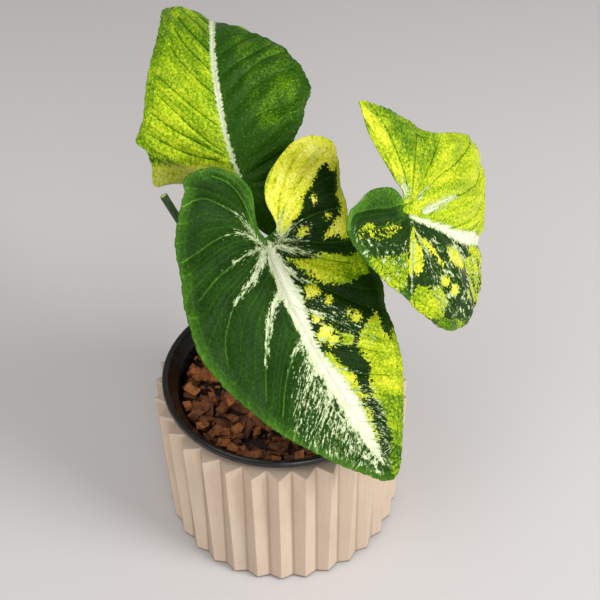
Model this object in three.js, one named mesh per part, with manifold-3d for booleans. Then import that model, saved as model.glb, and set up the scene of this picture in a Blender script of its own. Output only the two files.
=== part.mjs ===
import * as THREE from 'three';
import { mergeVertices } from 'three/addons/utils/BufferGeometryUtils.js';
import Module from 'manifold-3d';

// A potted variegated syngonium: three arrow-shaped leaves and one cut leaf stalk stand in chunky
// bark, in a black nursery pot, inside a pleated planter. Millimetres, +Z up. The origin is the
// centre of the planter's flat underside, and -Y is the front.

// Planter: its pleats are deep at the top and run out shallow at the foot
const PLEATS = 32;
const TOP_TIP_RADIUS = 76.3;
const TOP_VALLEY_RADIUS = 68.5;
const FOOT_TIP_RADIUS = 75.6;
const FOOT_VALLEY_RADIUS = 72.6;
const PLANTER_HEIGHT = 99;
const PLANTER_BORE_RADIUS = 64.6;
const PLANTER_FLOOR = 4;

// Nursery pot: it stands on the planter's floor and its rim shows above the pleats
const SEAT_GAP = 0.3;
const POT_FLOOR_RADIUS = 49;
const POT_FLOOR_THICKNESS = 2;
const POT_BODY_RADIUS = 63.6;
const POT_SHOULDER_HEIGHT = 99.6;
const SHOULDER_RISE = 2.4;
const SHOULDER_THICKNESS = 0.8;
const RIM_OUTER_RADIUS = 70.7;
const RIM_INNER_RADIUS = 66.9;
const RIM_TOP = 108.7;
const RIM_DROP = 3.7;
const RIM_CHAMFER = 0.8;
const POT_WALL = 1.5;
const POT_SIDES = 48;
const DRAIN_HOLES = 6;
const DRAIN_RADIUS = 4;
const DRAIN_CIRCLE = 34;

// Bark mix: the chips lie within a layer round its level, turned and pulled out of square
const BARK_LEVEL = 90;
const BARK_GAP = 0.4;
const CHIP_LAYER = [78, 96];
const CHIPS = 84;
const CHIP_LENGTH = [9, 15];
const CHIP_WIDTH = [6, 9.5];
const CHIP_HEIGHT = [4, 6.5];
const CHIP_PULL = [0.62, 1.12];
const CHIP_TILT = 0.5;
const CHIP_ROLL = 0.6;
const CHIP_RISE = [0.6, 2.2];
const CHIP_SHAKE = 0.6;
const CHIP_MARGIN = 5;
const CHIP_SEED = 7;

// Stalks, which stand in plain holes in the bark
const STALK_RADIUS = 2.1;
const STALK_QUARTERS = 4;
const STALK_STEPS = 22;
const HOLE_CLEARANCE = 0.35;
const HOLE_SIDES = 12;
const ROOTED_DEPTH = 58;
const HOLE_TOP = 104;
const STRAIGHT_TO = [96, 101];
const STEM_RADIUS = 4.5;
const STEM_TOP = 122;

// Leaf blades
const BLADE_THICKNESS = 0.8;
const ROWS_PER_RIB = 2;
const CELLS_ACROSS = 5;
const JOINT_BEND = 14;

const DEGREE = Math.PI / 180;
const GOLDEN_ANGLE = 2.39996;

// Each leaf is laid out flat in its own plane: u runs from the stalk's joint along the midrib to
// the tip, v to the right of it. midrib lists u, right and left the margin point that each stop on
// the midrib runs out to, and the lobe lists run on behind the joint as inner u, v, outer u, v.
const LEAVES = {
  leaf_front: {
    length: 134,
    joint: [-4.7, -22.3, 216.9],
    azimuth: 152,
    elevation: -49,
    roll: 0,
    droop: [0, 8],
    lobeDroop: 50,
    sway: [-40, 24],
    fold: { right: 0.20, left: 0.12 },
    curl: { right: 0.3, left: 0.5 },
    drop: { right: -0.1, left: 0.2 },
    ripple: { height: 0.8, length: 21 },
    foot: [1, -9.5],
    reach: [2, -22, 160],
    midrib: [139, 132, 122, 109, 94, 78, 62, 46, 32, 19, 8, 1, -3.5],
    right: [[139, 0], [135, 6], [126, 12], [113, 20.5], [99, 28], [84, 36], [70, 42], [56, 47],
      [44, 51], [30, 53], [14, 50.5], [0, 47], [-12, 45]],
    rightLobe: [[-8, 2, -22, 41], [-15, 2.5, -31, 36.5], [-23, 2, -37, 36], [-29, 3, -40, 29],
      [-34, 7, -41, 23], [-38, 13, -40.5, 17.5]],
    left: [[139, 0], [136, -6], [128, -12.5], [115, -22.5], [101, -33], [86, -41.5], [73, -45],
      [58, -48], [44, -53], [30, -51], [14, -49.5], [0, -48.5], [-12, -49]],
    leftLobe: [[-7, -7, -24, -49], [-13, -7.2, -35, -49.5], [-20, -5.5, -45, -49],
      [-27, -6, -50, -44], [-34, -9, -52, -35], [-41, -15, -50.5, -27], [-45, -19, -48, -22.5]],
  },
  leaf_left: {
    length: 124,
    joint: [-19.8, 19, 229.5],
    azimuth: -41,
    elevation: 58,
    roll: -25,
    droop: [28, 74],
    lobeDroop: 20,
    sway: [34, 14],
    fold: { right: 0.10, left: 0.10 },
    curl: { right: 0.08, left: 0.65 },
    drop: { right: 0.4, left: 0.4 },
    crease: { start: 0.032, spread: 0.27, slope: 2.7 },
    ripple: { height: 0.7, length: 19 },
    foot: [-6, 7.5],
    reach: [-10, 24, 165],
    midrib: [130, 122, 113, 103, 92, 80, 67, 54, 42, 31, 21, 12, 4, -3],
    right: [[130, 0], [126, 6], [118, 13], [109, 19], [99, 26], [89, 33], [79, 38], [68, 42],
      [58, 45.5], [47, 48], [37, 48], [28, 43.5], [19, 40], [11, 34]],
    rightLobe: [[-5, -2, 4, 31], [-12, -3, -4, 31], [-20, -3.5, -14, 32], [-29, -2, -25, 32],
      [-38, 3, -36, 29], [-45, 10, -45, 20]],
    left: [[130, 0], [125, -8], [118, -17], [110, -24], [101, -27.5], [90, -27.5], [78, -28.5],
      [67, -31], [57, -34], [47, -36.5], [39, -39], [30, -45], [26, -41.5], [20, -40.5]],
    leftLobe: [[-3.5, -5, 16.5, -41.5], [-1.5, -10, 13, -42.8], [4, -16, 10.5, -43],
      [8, -23, 9, -41.5], [8.8, -30, 8.8, -37]],
  },
  leaf_right: {
    length: 126,
    joint: [64, -16.6, 231.1],
    azimuth: 66,
    elevation: -35,
    roll: 60,
    droop: [11, 76],
    lobeDroop: -20,
    sway: [-18, 10],
    fold: { right: 0.40, left: 0.05 },
    curl: { right: 0.5, left: 0.5 },
    drop: { right: -0.3, left: -0.3 },
    ripple: { height: 0.8, length: 20 },
    foot: [9.5, 0],
    reach: [34, 4, 165],
    midrib: [128, 121, 112, 101, 89, 77, 65, 53, 42, 31, 21, 12, 4, -4],
    right: [[128, 0], [123, 5], [115, 11], [106, 17], [95, 25], [84, 33], [73, 40],
      [62, 45.5], [50, 49.5], [37, 50], [25, 47.5], [14, 44], [3, 39.5], [-10, 36]],
    rightLobe: [[-7.5, -4.5, -20, 33], [-12, -6.8, -29, 30], [-19, -7.5, -37, 26.5],
      [-26, -5, -42.5, 22.5], [-32, -1, -43.5, 17], [-37, 6, -42.5, 12]],
    left: [[128, 0], [124, -7], [117, -15], [108, -23], [98, -32], [87, -40], [75, -47],
      [63, -51.5], [51, -53], [39, -52], [27, -49.5], [15, -46], [4, -43.5], [-7, -43]],
    leftLobe: [[-8.5, -9, -17, -43], [-15, -11.5, -28, -41.8], [-24, -15.5, -38, -40],
      [-34, -19.5, -47, -37.5], [-43, -24, -53, -35.5], [-50, -29.5, -54.5, -33.8]],
  },
};

// The stalk whose blade was cut off
const CUT_STALK = {
  foot: [-9.2, -1.5],
  path: [[-14, -1, 125], [-33, 4, 170], [-59, 10.6, 224.3]],
};

const wasm = await Module();
wasm.setup();

// Vertices within a thousandth of a millimetre become one
const MERGE = 1e-3;

function toSolid(geometry) {
  const bare = geometry.clone();
  bare.deleteAttribute('normal');
  bare.deleteAttribute('uv');
  const merged = mergeVertices(bare, MERGE);
  const mesh = new wasm.Mesh({
    numProp: 3,
    vertProperties: new Float32Array(merged.attributes.position.array),
    triVerts: new Uint32Array(merged.index.array),
  });
  return new wasm.Manifold(mesh);
}

function toGeometry(solid) {
  const mesh = solid.getMesh();
  const geometry = new THREE.BufferGeometry();
  geometry.setAttribute('position', new THREE.BufferAttribute(mesh.vertProperties, 3));
  geometry.setIndex(new THREE.BufferAttribute(mesh.triVerts, 1));
  geometry.computeVertexNormals();
  return geometry;
}

function toMesh(name, geometry, color, roughness) {
  const material = new THREE.MeshStandardMaterial({ color, roughness, metalness: 0 });
  const mesh = new THREE.Mesh(geometry, material);
  mesh.name = name;
  return mesh;
}

function facesToGeometry(points, faces) {
  const geometry = new THREE.BufferGeometry();
  const flat = points.flatMap((p) => [p.x, p.y, p.z]);
  geometry.setAttribute('position', new THREE.Float32BufferAttribute(flat, 3));
  geometry.setIndex(faces.flat());
  geometry.computeVertexNormals();
  return geometry;
}

// Joins rings of equal length, from the inside of the base round to the inside of the bore, and
// closes the first and the last ring at a centre point
function ringStack(rings, firstCentre, lastCentre) {
  const count = rings[0].length;
  const points = rings.flat();
  const faces = [];
  for (let r = 0; r + 1 < rings.length; r += 1) {
    for (let i = 0; i < count; i += 1) {
      const j = (i + 1) % count;
      const a = r * count + i;
      const b = r * count + j;
      const c = a + count;
      const d = b + count;
      faces.push([a, b, d], [a, d, c]);
    }
  }
  const first = points.push(firstCentre) - 1;
  const last = points.push(lastCentre) - 1;
  const lastRing = (rings.length - 1) * count;
  for (let i = 0; i < count; i += 1) {
    const j = (i + 1) % count;
    faces.push([first, j, i], [last, lastRing + i, lastRing + j]);
  }
  return facesToGeometry(points, faces);
}

// One ring of the planter: tips and valleys by turns, with a tip at the front
function pleatRing(tipRadius, valleyRadius, z) {
  const ring = [];
  for (let i = 0; i < 2 * PLEATS; i += 1) {
    const angle = (i * Math.PI) / PLEATS - Math.PI / 2;
    const radius = i % 2 === 0 ? tipRadius : valleyRadius;
    ring.push(new THREE.Vector3(radius * Math.cos(angle), radius * Math.sin(angle), z));
  }
  return ring;
}

function planter() {
  const rings = [
    pleatRing(FOOT_TIP_RADIUS, FOOT_VALLEY_RADIUS, 0),
    pleatRing(TOP_TIP_RADIUS, TOP_VALLEY_RADIUS, PLANTER_HEIGHT),
    pleatRing(PLANTER_BORE_RADIUS, PLANTER_BORE_RADIUS, PLANTER_HEIGHT),
    pleatRing(PLANTER_BORE_RADIUS, PLANTER_BORE_RADIUS, PLANTER_FLOOR),
  ];
  const underside = new THREE.Vector3(0, 0, 0);
  const floor = new THREE.Vector3(0, 0, PLANTER_FLOOR);
  return toMesh('planter', ringStack(rings, underside, floor), '#dcc8b0', 0.85);
}

// Turns a profile of radius and height about the upright axis; both ends lie on the axis
function turned(profile, sides) {
  const geometry = new THREE.LatheGeometry(profile.map(([r, z]) => new THREE.Vector2(r, z)), sides);
  geometry.rotateX(Math.PI / 2);
  return geometry;
}

// What a round upright hole takes away, with an overlap at both of its ends
function bore(radius, bottom, top, x, y) {
  const overlap = 2;
  const geometry = new THREE.CylinderGeometry(radius, radius, top - bottom + 2 * overlap, HOLE_SIDES);
  geometry.rotateX(Math.PI / 2);
  geometry.translate(x, y, (bottom + top) / 2);
  return toSolid(geometry);
}

const potFloor = PLANTER_FLOOR + SEAT_GAP;
const potFloorTop = potFloor + POT_FLOOR_THICKNESS;
const rimUnder = RIM_TOP - RIM_DROP;
const rimBack = RIM_INNER_RADIUS + POT_WALL;
const shoulderTop = POT_SHOULDER_HEIGHT + SHOULDER_RISE;

// Inner radius of the nursery pot's body at a height
function potBore(z) {
  const rise = (z - potFloor) / (POT_SHOULDER_HEIGHT - potFloor);
  return POT_FLOOR_RADIUS + (POT_BODY_RADIUS - POT_FLOOR_RADIUS) * rise - POT_WALL;
}

function nurseryPot() {
  const profile = [
    [0, potFloor],
    [POT_FLOOR_RADIUS, potFloor],
    [POT_BODY_RADIUS, POT_SHOULDER_HEIGHT],
    [rimBack, shoulderTop],
    [rimBack, rimUnder],
    [RIM_OUTER_RADIUS, rimUnder],
    [RIM_OUTER_RADIUS, RIM_TOP - RIM_CHAMFER],
    [RIM_OUTER_RADIUS - RIM_CHAMFER, RIM_TOP],
    [RIM_INNER_RADIUS + RIM_CHAMFER, RIM_TOP],
    [RIM_INNER_RADIUS, RIM_TOP - RIM_CHAMFER],
    [RIM_INNER_RADIUS, shoulderTop + SHOULDER_THICKNESS],
    [potBore(POT_SHOULDER_HEIGHT), POT_SHOULDER_HEIGHT + SHOULDER_THICKNESS],
    [potBore(potFloorTop), potFloorTop],
    [0, potFloorTop],
  ];
  let solid = toSolid(turned(profile, POT_SIDES));
  for (let i = 0; i < DRAIN_HOLES; i += 1) {
    const angle = ((i + 0.5) * 2 * Math.PI) / DRAIN_HOLES;
    const x = DRAIN_CIRCLE * Math.cos(angle);
    const y = DRAIN_CIRCLE * Math.sin(angle);
    solid = solid.subtract(bore(DRAIN_RADIUS, potFloor, potFloorTop, x, y));
  }
  return toMesh('nursery_pot', toGeometry(solid), '#26262a', 0.45);
}

// A small seeded generator, so that each build lays the same bark
function seeded(seed) {
  let state = seed;
  return () => {
    state = (state * 1664525 + 1013904223) % 4294967296;
    return state / 4294967296;
  };
}

const between = (draw, [low, high]) => low + (high - low) * draw();

// One bark chip: a block with its corners pulled about
function chip(draw) {
  const size = [between(draw, CHIP_LENGTH), between(draw, CHIP_WIDTH), between(draw, CHIP_HEIGHT)];
  const geometry = new THREE.BoxGeometry(...size);
  geometry.deleteAttribute('normal');
  geometry.deleteAttribute('uv');
  const merged = mergeVertices(geometry, MERGE);
  const position = merged.attributes.position;
  for (let i = 0; i < position.count; i += 1) {
    const x = position.getX(i) * between(draw, CHIP_PULL);
    const y = position.getY(i) * between(draw, CHIP_PULL);
    const z = position.getZ(i) * between(draw, CHIP_PULL);
    position.setXYZ(i, x, y, z);
  }
  return merged;
}

function barkChips(draw) {
  const chips = [];
  const limit = potBore(BARK_LEVEL) - CHIP_MARGIN;
  for (let i = 0; i < CHIPS; i += 1) {
    // Sunflower spacing keeps the cover even; the shake breaks its pattern
    const spin = i * GOLDEN_ANGLE + CHIP_SHAKE * draw();
    const radius = limit * Math.sqrt((i + 0.5) / CHIPS);
    const tilt = CHIP_TILT * (draw() - 0.5);
    const roll = CHIP_ROLL * (draw() - 0.5);
    const turn = new THREE.Euler(tilt, roll, 2 * Math.PI * draw());
    const place = new THREE.Vector3(radius * Math.cos(spin), radius * Math.sin(spin), BARK_LEVEL);
    place.z += between(draw, CHIP_RISE);
    const matrix = new THREE.Matrix4().makeRotationFromEuler(turn).setPosition(place);
    chips.push(toSolid(chip(draw).applyMatrix4(matrix)));
  }
  return wasm.Manifold.union(chips);
}

// The largest shell of a solid, which fills any pocket closed in among the chips
function outerShell(solid) {
  return solid.decompose().reduce((best, shell) => (shell.volume() > best.volume() ? shell : best));
}

function pottingBark() {
  const wall = (z) => [potBore(z) - BARK_GAP, z];
  const bottom = potFloorTop + SEAT_GAP;
  const [layerBottom, layerTop] = CHIP_LAYER;
  const body = [[0, bottom], wall(bottom), wall(BARK_LEVEL), [0, BARK_LEVEL]];
  const room = [
    [0, layerBottom],
    wall(layerBottom),
    wall(layerTop),
    [potBore(layerTop) - BARK_GAP, RIM_TOP],
    [0, RIM_TOP],
  ];
  const chips = barkChips(seeded(CHIP_SEED)).intersect(toSolid(turned(room, POT_SIDES)));
  let solid = toSolid(turned(body, POT_SIDES)).add(chips);
  const holes = [...Object.values(LEAVES), CUT_STALK].map(({ foot }) => [STALK_RADIUS, ...foot]);
  for (const [radius, x, y] of [...holes, [STEM_RADIUS, 0, 0]]) {
    solid = solid.subtract(bore(radius + HOLE_CLEARANCE, ROOTED_DEPTH, HOLE_TOP, x, y));
  }
  return toMesh('potting_bark', toGeometry(outerShell(solid)), '#7a4526', 0.9);
}

// The plant's short stem, with the pointed sheath of the next leaf on top: radius, height
const STEM_PROFILE = [
  [0, ROOTED_DEPTH],
  [STEM_RADIUS, ROOTED_DEPTH],
  [STEM_RADIUS, 94],
  [3.6, 96],
  [3.6, 102],
  [2.6, 104],
  [2.2, 114],
  [0, STEM_TOP],
];

function stem() {
  return toMesh('stem', turned(STEM_PROFILE, HOLE_SIDES), '#5f7f2c', 0.6);
}

// A round stalk that rises straight from its hole and then follows a smooth path to a flat end
function stalk([x, y], bends) {
  const stops = [ROOTED_DEPTH, ...STRAIGHT_TO].map((z) => [x, y, z]);
  const points = [...stops, ...bends].map((p) => new THREE.Vector3(...p));
  const path = new THREE.CatmullRomCurve3(points, false, 'centripetal');
  const section = new THREE.Shape();
  section.absarc(0, 0, STALK_RADIUS, 0, 2 * Math.PI);
  return new THREE.ExtrudeGeometry(section, {
    steps: STALK_STEPS,
    curveSegments: STALK_QUARTERS,
    extrudePath: path,
    bevelEnabled: false,
  });
}

// The plane that a leaf leaves its joint in: along its midrib, to its right and up from its face
function leafAxes(leaf) {
  const azimuth = leaf.azimuth * DEGREE;
  const elevation = leaf.elevation * DEGREE;
  const flat = Math.cos(elevation);
  const along = new THREE.Vector3(Math.sin(azimuth) * flat, Math.cos(azimuth) * flat, 0);
  along.z = Math.sin(elevation);
  const level = new THREE.Vector3(Math.cos(azimuth), -Math.sin(azimuth), 0);
  const rise = new THREE.Vector3().crossVectors(level, along);
  const cos = Math.cos(leaf.roll * DEGREE);
  const sin = Math.sin(leaf.roll * DEGREE);
  const across = level.clone().multiplyScalar(cos).addScaledVector(rise, -sin);
  const up = rise.clone().multiplyScalar(cos).addScaledVector(level, sin);
  return { along, across, up };
}

// The frame of the bent midrib at u: it droops from the joint to the tip and sways sideways
function midribFrame(leaf, axes, u) {
  const x = u / leaf.length;
  const pitch = (x > 0 ? leaf.droop[0] * x + leaf.droop[1] * x * x : -leaf.lobeDroop * x) * DEGREE;
  const yaw = (leaf.sway[0] * x + leaf.sway[1] * x * Math.abs(x)) * DEGREE;
  const tangent = axes.along.clone().multiplyScalar(Math.cos(pitch) * Math.cos(yaw))
    .addScaledVector(axes.across, Math.cos(pitch) * Math.sin(yaw))
    .addScaledVector(axes.up, -Math.sin(pitch));
  const side = axes.across.clone().multiplyScalar(Math.cos(yaw))
    .addScaledVector(axes.along, -Math.sin(yaw));
  return { tangent, side, normal: new THREE.Vector3().crossVectors(side, tangent) };
}

// The midrib's course, added up in short steps away from the joint
const MIDRIB_STEP = 1;
function midribPoint(leaf, axes, u) {
  const steps = Math.max(1, Math.ceil(Math.abs(u) / MIDRIB_STEP));
  const point = new THREE.Vector3(...leaf.joint);
  for (let i = 0; i < steps; i += 1) {
    point.addScaledVector(midribFrame(leaf, axes, (u * (i + 0.5)) / steps).tangent, u / steps);
  }
  return point;
}

// A ramp that starts softly at zero and runs at full slope past the given width
const ramp = (x, width) => (x > 0 ? (x * x) / (x + width) : 0);

// Shares of the leaf's length: how softly the fold, the lobes and the crease begin, how far out
// the crease and the ripple reach their full size, and how much the fold opens towards the tip
const MIDRIB_SOFTNESS = 0.03;
const LOBE_SOFTNESS = 0.15;
const CREASE_SOFTNESS = 0.03;
const CREASE_REACH = 0.08;
const RIPPLE_REACH = 0.36;
const TIP_OPENING = 0.55;

// Height of the blade over its midrib: folded up in a shallow V, curled down at the margin, with
// the lobes dropping or lifting behind the joint and the margin rippled
function bladeHeight(leaf, half, u, v) {
  const side = half > 0 ? 'right' : 'left';
  const x = u / leaf.length;
  const w = Math.abs(v) / leaf.length;
  const open = 1 - TIP_OPENING * Math.min(Math.max(x, 0), 1);
  let height = leaf.fold[side] * (Math.hypot(w, MIDRIB_SOFTNESS) - MIDRIB_SOFTNESS) * open;
  height -= leaf.curl[side] * w * w;
  height -= leaf.drop[side] * ramp(-x, LOBE_SOFTNESS);
  if (leaf.crease && half < 0) {
    const line = leaf.crease.start + leaf.crease.spread * Math.sqrt(w);
    const fall = leaf.crease.slope * ramp(line - x, CREASE_SOFTNESS);
    height -= fall * Math.min(w / CREASE_REACH, 1);
  }
  const edge = Math.min(w / RIPPLE_REACH, 1);
  const wave = Math.sin((2 * Math.PI * u) / leaf.ripple.length + half);
  return height * leaf.length + leaf.ripple.height * edge ** 3 * wave;
}

function bladePoint(leaf, axes, half, u, v) {
  const frame = midribFrame(leaf, axes, u);
  return midribPoint(leaf, axes, u)
    .addScaledVector(frame.side, v)
    .addScaledVector(frame.normal, bladeHeight(leaf, half, u, v));
}

const NORMAL_STEP = 0.25;
function bladeNormal(leaf, axes, half, u, v) {
  const alongStep = bladePoint(leaf, axes, half, u + NORMAL_STEP, v)
    .sub(bladePoint(leaf, axes, half, u - NORMAL_STEP, v));
  const acrossStep = bladePoint(leaf, axes, half, u, v + NORMAL_STEP)
    .sub(bladePoint(leaf, axes, half, u, v - NORMAL_STEP));
  return acrossStep.cross(alongStep).normalize();
}

// The rows of one half of a blade, from the tip to the end of its lobe. A row runs from the
// midrib, or from the inner edge of the lobe, out to the margin.
function halfRows(leaf, half) {
  const margin = half > 0 ? leaf.right : leaf.left;
  const lobe = half > 0 ? leaf.rightLobe : leaf.leftLobe;
  const inner = leaf.midrib.map((u) => new THREE.Vector2(u, 0));
  const outer = margin.map(([u, v]) => new THREE.Vector2(u, v));
  lobe.forEach(([ui, vi, uo, vo]) => {
    inner.push(new THREE.Vector2(ui, vi));
    outer.push(new THREE.Vector2(uo, vo));
  });
  const innerCurve = new THREE.SplineCurve(inner);
  const outerCurve = new THREE.SplineCurve(outer);
  const count = (inner.length - 1) * ROWS_PER_RIB;
  const sinusRow = (leaf.midrib.length - 1) * ROWS_PER_RIB;
  const rows = [];
  for (let i = 1; i <= count; i += 1) {
    const start = innerCurve.getPoint(i / count);
    const end = outerCurve.getPoint(i / count);
    if (i <= sinusRow) start.y = 0;
    const row = [];
    for (let k = 0; k <= CELLS_ACROSS; k += 1) row.push(start.clone().lerp(end, k / CELLS_ACROSS));
    rows.push(row);
  }
  return { rows, sinusRow };
}

// Both halves as one sheet: the flat places of its vertices, its triangles and its edge loop
function bladeSheet(leaf) {
  const places = [{ u: leaf.midrib[0], v: 0, half: 1 }];
  const faces = [];
  const grids = {};
  for (const half of [1, -1]) {
    const { rows, sinusRow } = halfRows(leaf, half);
    grids[half] = rows.map((row, i) => row.map((p, k) => {
      if (half < 0 && k === 0 && i < sinusRow) return grids[1][i][0];
      return places.push({ u: p.x, v: p.y, half }) - 1;
    }));
    const grid = grids[half];
    const add = (a, b, c) => faces.push(half > 0 ? [a, b, c] : [a, c, b]);
    for (let k = 0; k < CELLS_ACROSS; k += 1) add(0, grid[0][k], grid[0][k + 1]);
    for (let i = 0; i + 1 < grid.length; i += 1) {
      for (let k = 0; k < CELLS_ACROSS; k += 1) {
        add(grid[i][k], grid[i + 1][k], grid[i + 1][k + 1]);
        add(grid[i][k], grid[i + 1][k + 1], grid[i][k + 1]);
      }
    }
  }
  return { places, faces };
}

// The sheet's open edges, each in the direction that its one triangle gives it
function openEdges(faces) {
  const edges = new Map();
  for (const [a, b, c] of faces) {
    for (const [p, q] of [[a, b], [b, c], [c, a]]) {
      const back = `${q}_${p}`;
      if (edges.has(back)) edges.delete(back);
      else edges.set(`${p}_${q}`, [p, q]);
    }
  }
  return [...edges.values()];
}

function blade(leaf) {
  const axes = leafAxes(leaf);
  const { places, faces } = bladeSheet(leaf);
  const top = [];
  const under = [];
  for (const { u, v, half } of places) {
    const point = bladePoint(leaf, axes, half, u, v);
    const normal = bladeNormal(leaf, axes, half, u, v);
    top.push(point.clone().addScaledVector(normal, BLADE_THICKNESS / 2));
    under.push(point.addScaledVector(normal, -BLADE_THICKNESS / 2));
  }
  const shift = top.length;
  const solid = faces.map(([a, b, c]) => [a, b, c]);
  for (const [a, b, c] of faces) solid.push([a + shift, c + shift, b + shift]);
  for (const [a, b] of openEdges(faces)) {
    solid.push([b, a, a + shift], [b, a + shift, b + shift]);
  }
  return facesToGeometry([...top, ...under], solid);
}

// A leaf's stalk rises from its hole, reaches out and meets the blade square on from below
function leafStalk(leaf) {
  const { up } = leafAxes(leaf);
  const joint = new THREE.Vector3(...leaf.joint);
  const below = joint.clone().addScaledVector(up, -JOINT_BEND);
  return stalk(leaf.foot, [leaf.reach, below.toArray(), joint.toArray()]);
}

function leafMesh(name, color) {
  const leaf = LEAVES[name];
  const solid = toSolid(blade(leaf)).add(toSolid(leafStalk(leaf)));
  return toMesh(name, toGeometry(solid), color, 0.5);
}

function cutStalk() {
  return toMesh('cut_petiole', stalk(CUT_STALK.foot, CUT_STALK.path), '#2f5a1e', 0.55);
}

const group = new THREE.Group();
group.add(
  planter(),
  nurseryPot(),
  pottingBark(),
  stem(),
  leafMesh('leaf_front', '#2c6a24'),
  leafMesh('leaf_left', '#8fb02a'),
  leafMesh('leaf_right', '#a6b93c'),
  cutStalk(),
);

export default group;
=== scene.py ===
import math

import bmesh
import bpy
import numpy as np
from mathutils import Euler, Matrix, Vector, noise


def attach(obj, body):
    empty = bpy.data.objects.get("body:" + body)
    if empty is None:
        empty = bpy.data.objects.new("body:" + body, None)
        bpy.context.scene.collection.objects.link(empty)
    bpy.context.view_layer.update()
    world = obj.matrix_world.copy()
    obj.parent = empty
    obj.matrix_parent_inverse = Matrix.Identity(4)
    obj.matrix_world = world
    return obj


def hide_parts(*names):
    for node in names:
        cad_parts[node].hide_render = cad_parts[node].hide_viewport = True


# A potted variegated syngonium: three arrow-shaped leaves splashed with yellow and cream stand in
# chunky bark, in a black nursery pot, inside a pleated sand-coloured planter. Lengths in this file
# are millimetres, and MM turns them to metres where a mesh is placed.

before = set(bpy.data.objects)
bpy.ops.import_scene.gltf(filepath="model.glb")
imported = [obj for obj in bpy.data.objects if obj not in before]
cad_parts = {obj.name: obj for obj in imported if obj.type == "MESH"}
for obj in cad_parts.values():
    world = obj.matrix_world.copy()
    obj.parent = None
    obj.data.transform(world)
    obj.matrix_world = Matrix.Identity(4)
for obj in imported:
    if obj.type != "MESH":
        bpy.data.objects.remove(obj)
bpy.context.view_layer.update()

MM = 0.001

# Where the picture is taken from: in front, looking down
CAMERA_PLACE = (11.25, -346.1, 461.5)
CAMERA_TILT = 49.17
CAMERA_LENS = 49.55

# Lamps: name, place and width in metres, and power in watts
LAMPS = (
    ("key light", (1.35, -0.65, 1.2), 0.8, 25),
    ("fill light", (-0.8, -0.7, 1.5), 1.0, 8),
    ("low light", (0.5, -1.9, 0.5), 0.8, 15),
)

# Planter
PLEATS = 32
TOP_TIP_RADIUS = 76.3
TOP_VALLEY_RADIUS = 68.5
FOOT_TIP_RADIUS = 75.6
FOOT_VALLEY_RADIUS = 72.6
FOOT_CHAMFER = 1.4
PLANTER_HEIGHT = 99
PLANTER_BORE_RADIUS = 64.6
PLANTER_FLOOR = 4

# Nursery pot
POT_FLOOR = 4.3
POT_FLOOR_RADIUS = 49
POT_BODY_RADIUS = 63.6
POT_SHOULDER_HEIGHT = 99.6
POT_WALL = 1.5
RIM_OUTER_RADIUS = 70.7
RIM_INNER_RADIUS = 66.9
RIM_TOP = 108.7
RIM_DROP = 3.7
DRAIN_HOLES = 6
DRAIN_RADIUS = 4
DRAIN_CIRCLE = 34

# Bark
BARK_LEVEL = 90
LARGE_CHIPS = 84
LOOSE_CHIPS = 130
WALL_CHIPS = 54
CRUMBS = 420
CHIP_LENGTH = (9, 15)
CHIP_WIDTH = (6, 9.5)
CHIP_HEIGHT = (4, 6.5)
CHIP_PULL = (0.62, 1.12)
LOOSE_PULL = (0.42, 1.2)
CHIP_SEED = 7
CHIP_EDGE_ANGLE = 18
GOLDEN_ANGLE = 2.39996

# Stalks
STALK_RADIUS = 2.1
ROOTED_DEPTH = 58
STRAIGHT_TO = (96, 101)
JOINT_BEND = 14
STEM_RADIUS = 4.5
STEM_TOP = 122

# Leaf blades: cells down each half from tip to lobe, and from the midrib out to the margin
BLADE_ROWS = 300
BLADE_CELLS = 64
BLADE_THICKNESS = 0.5
MIDRIB_THICKNESS = 2.4
QUILT_HEIGHT = 1.5
FINE_RIB_HEIGHT = 0.26
GROOVE_DEPTH = 0.5
HEM_DEPTH = 0.1

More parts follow.
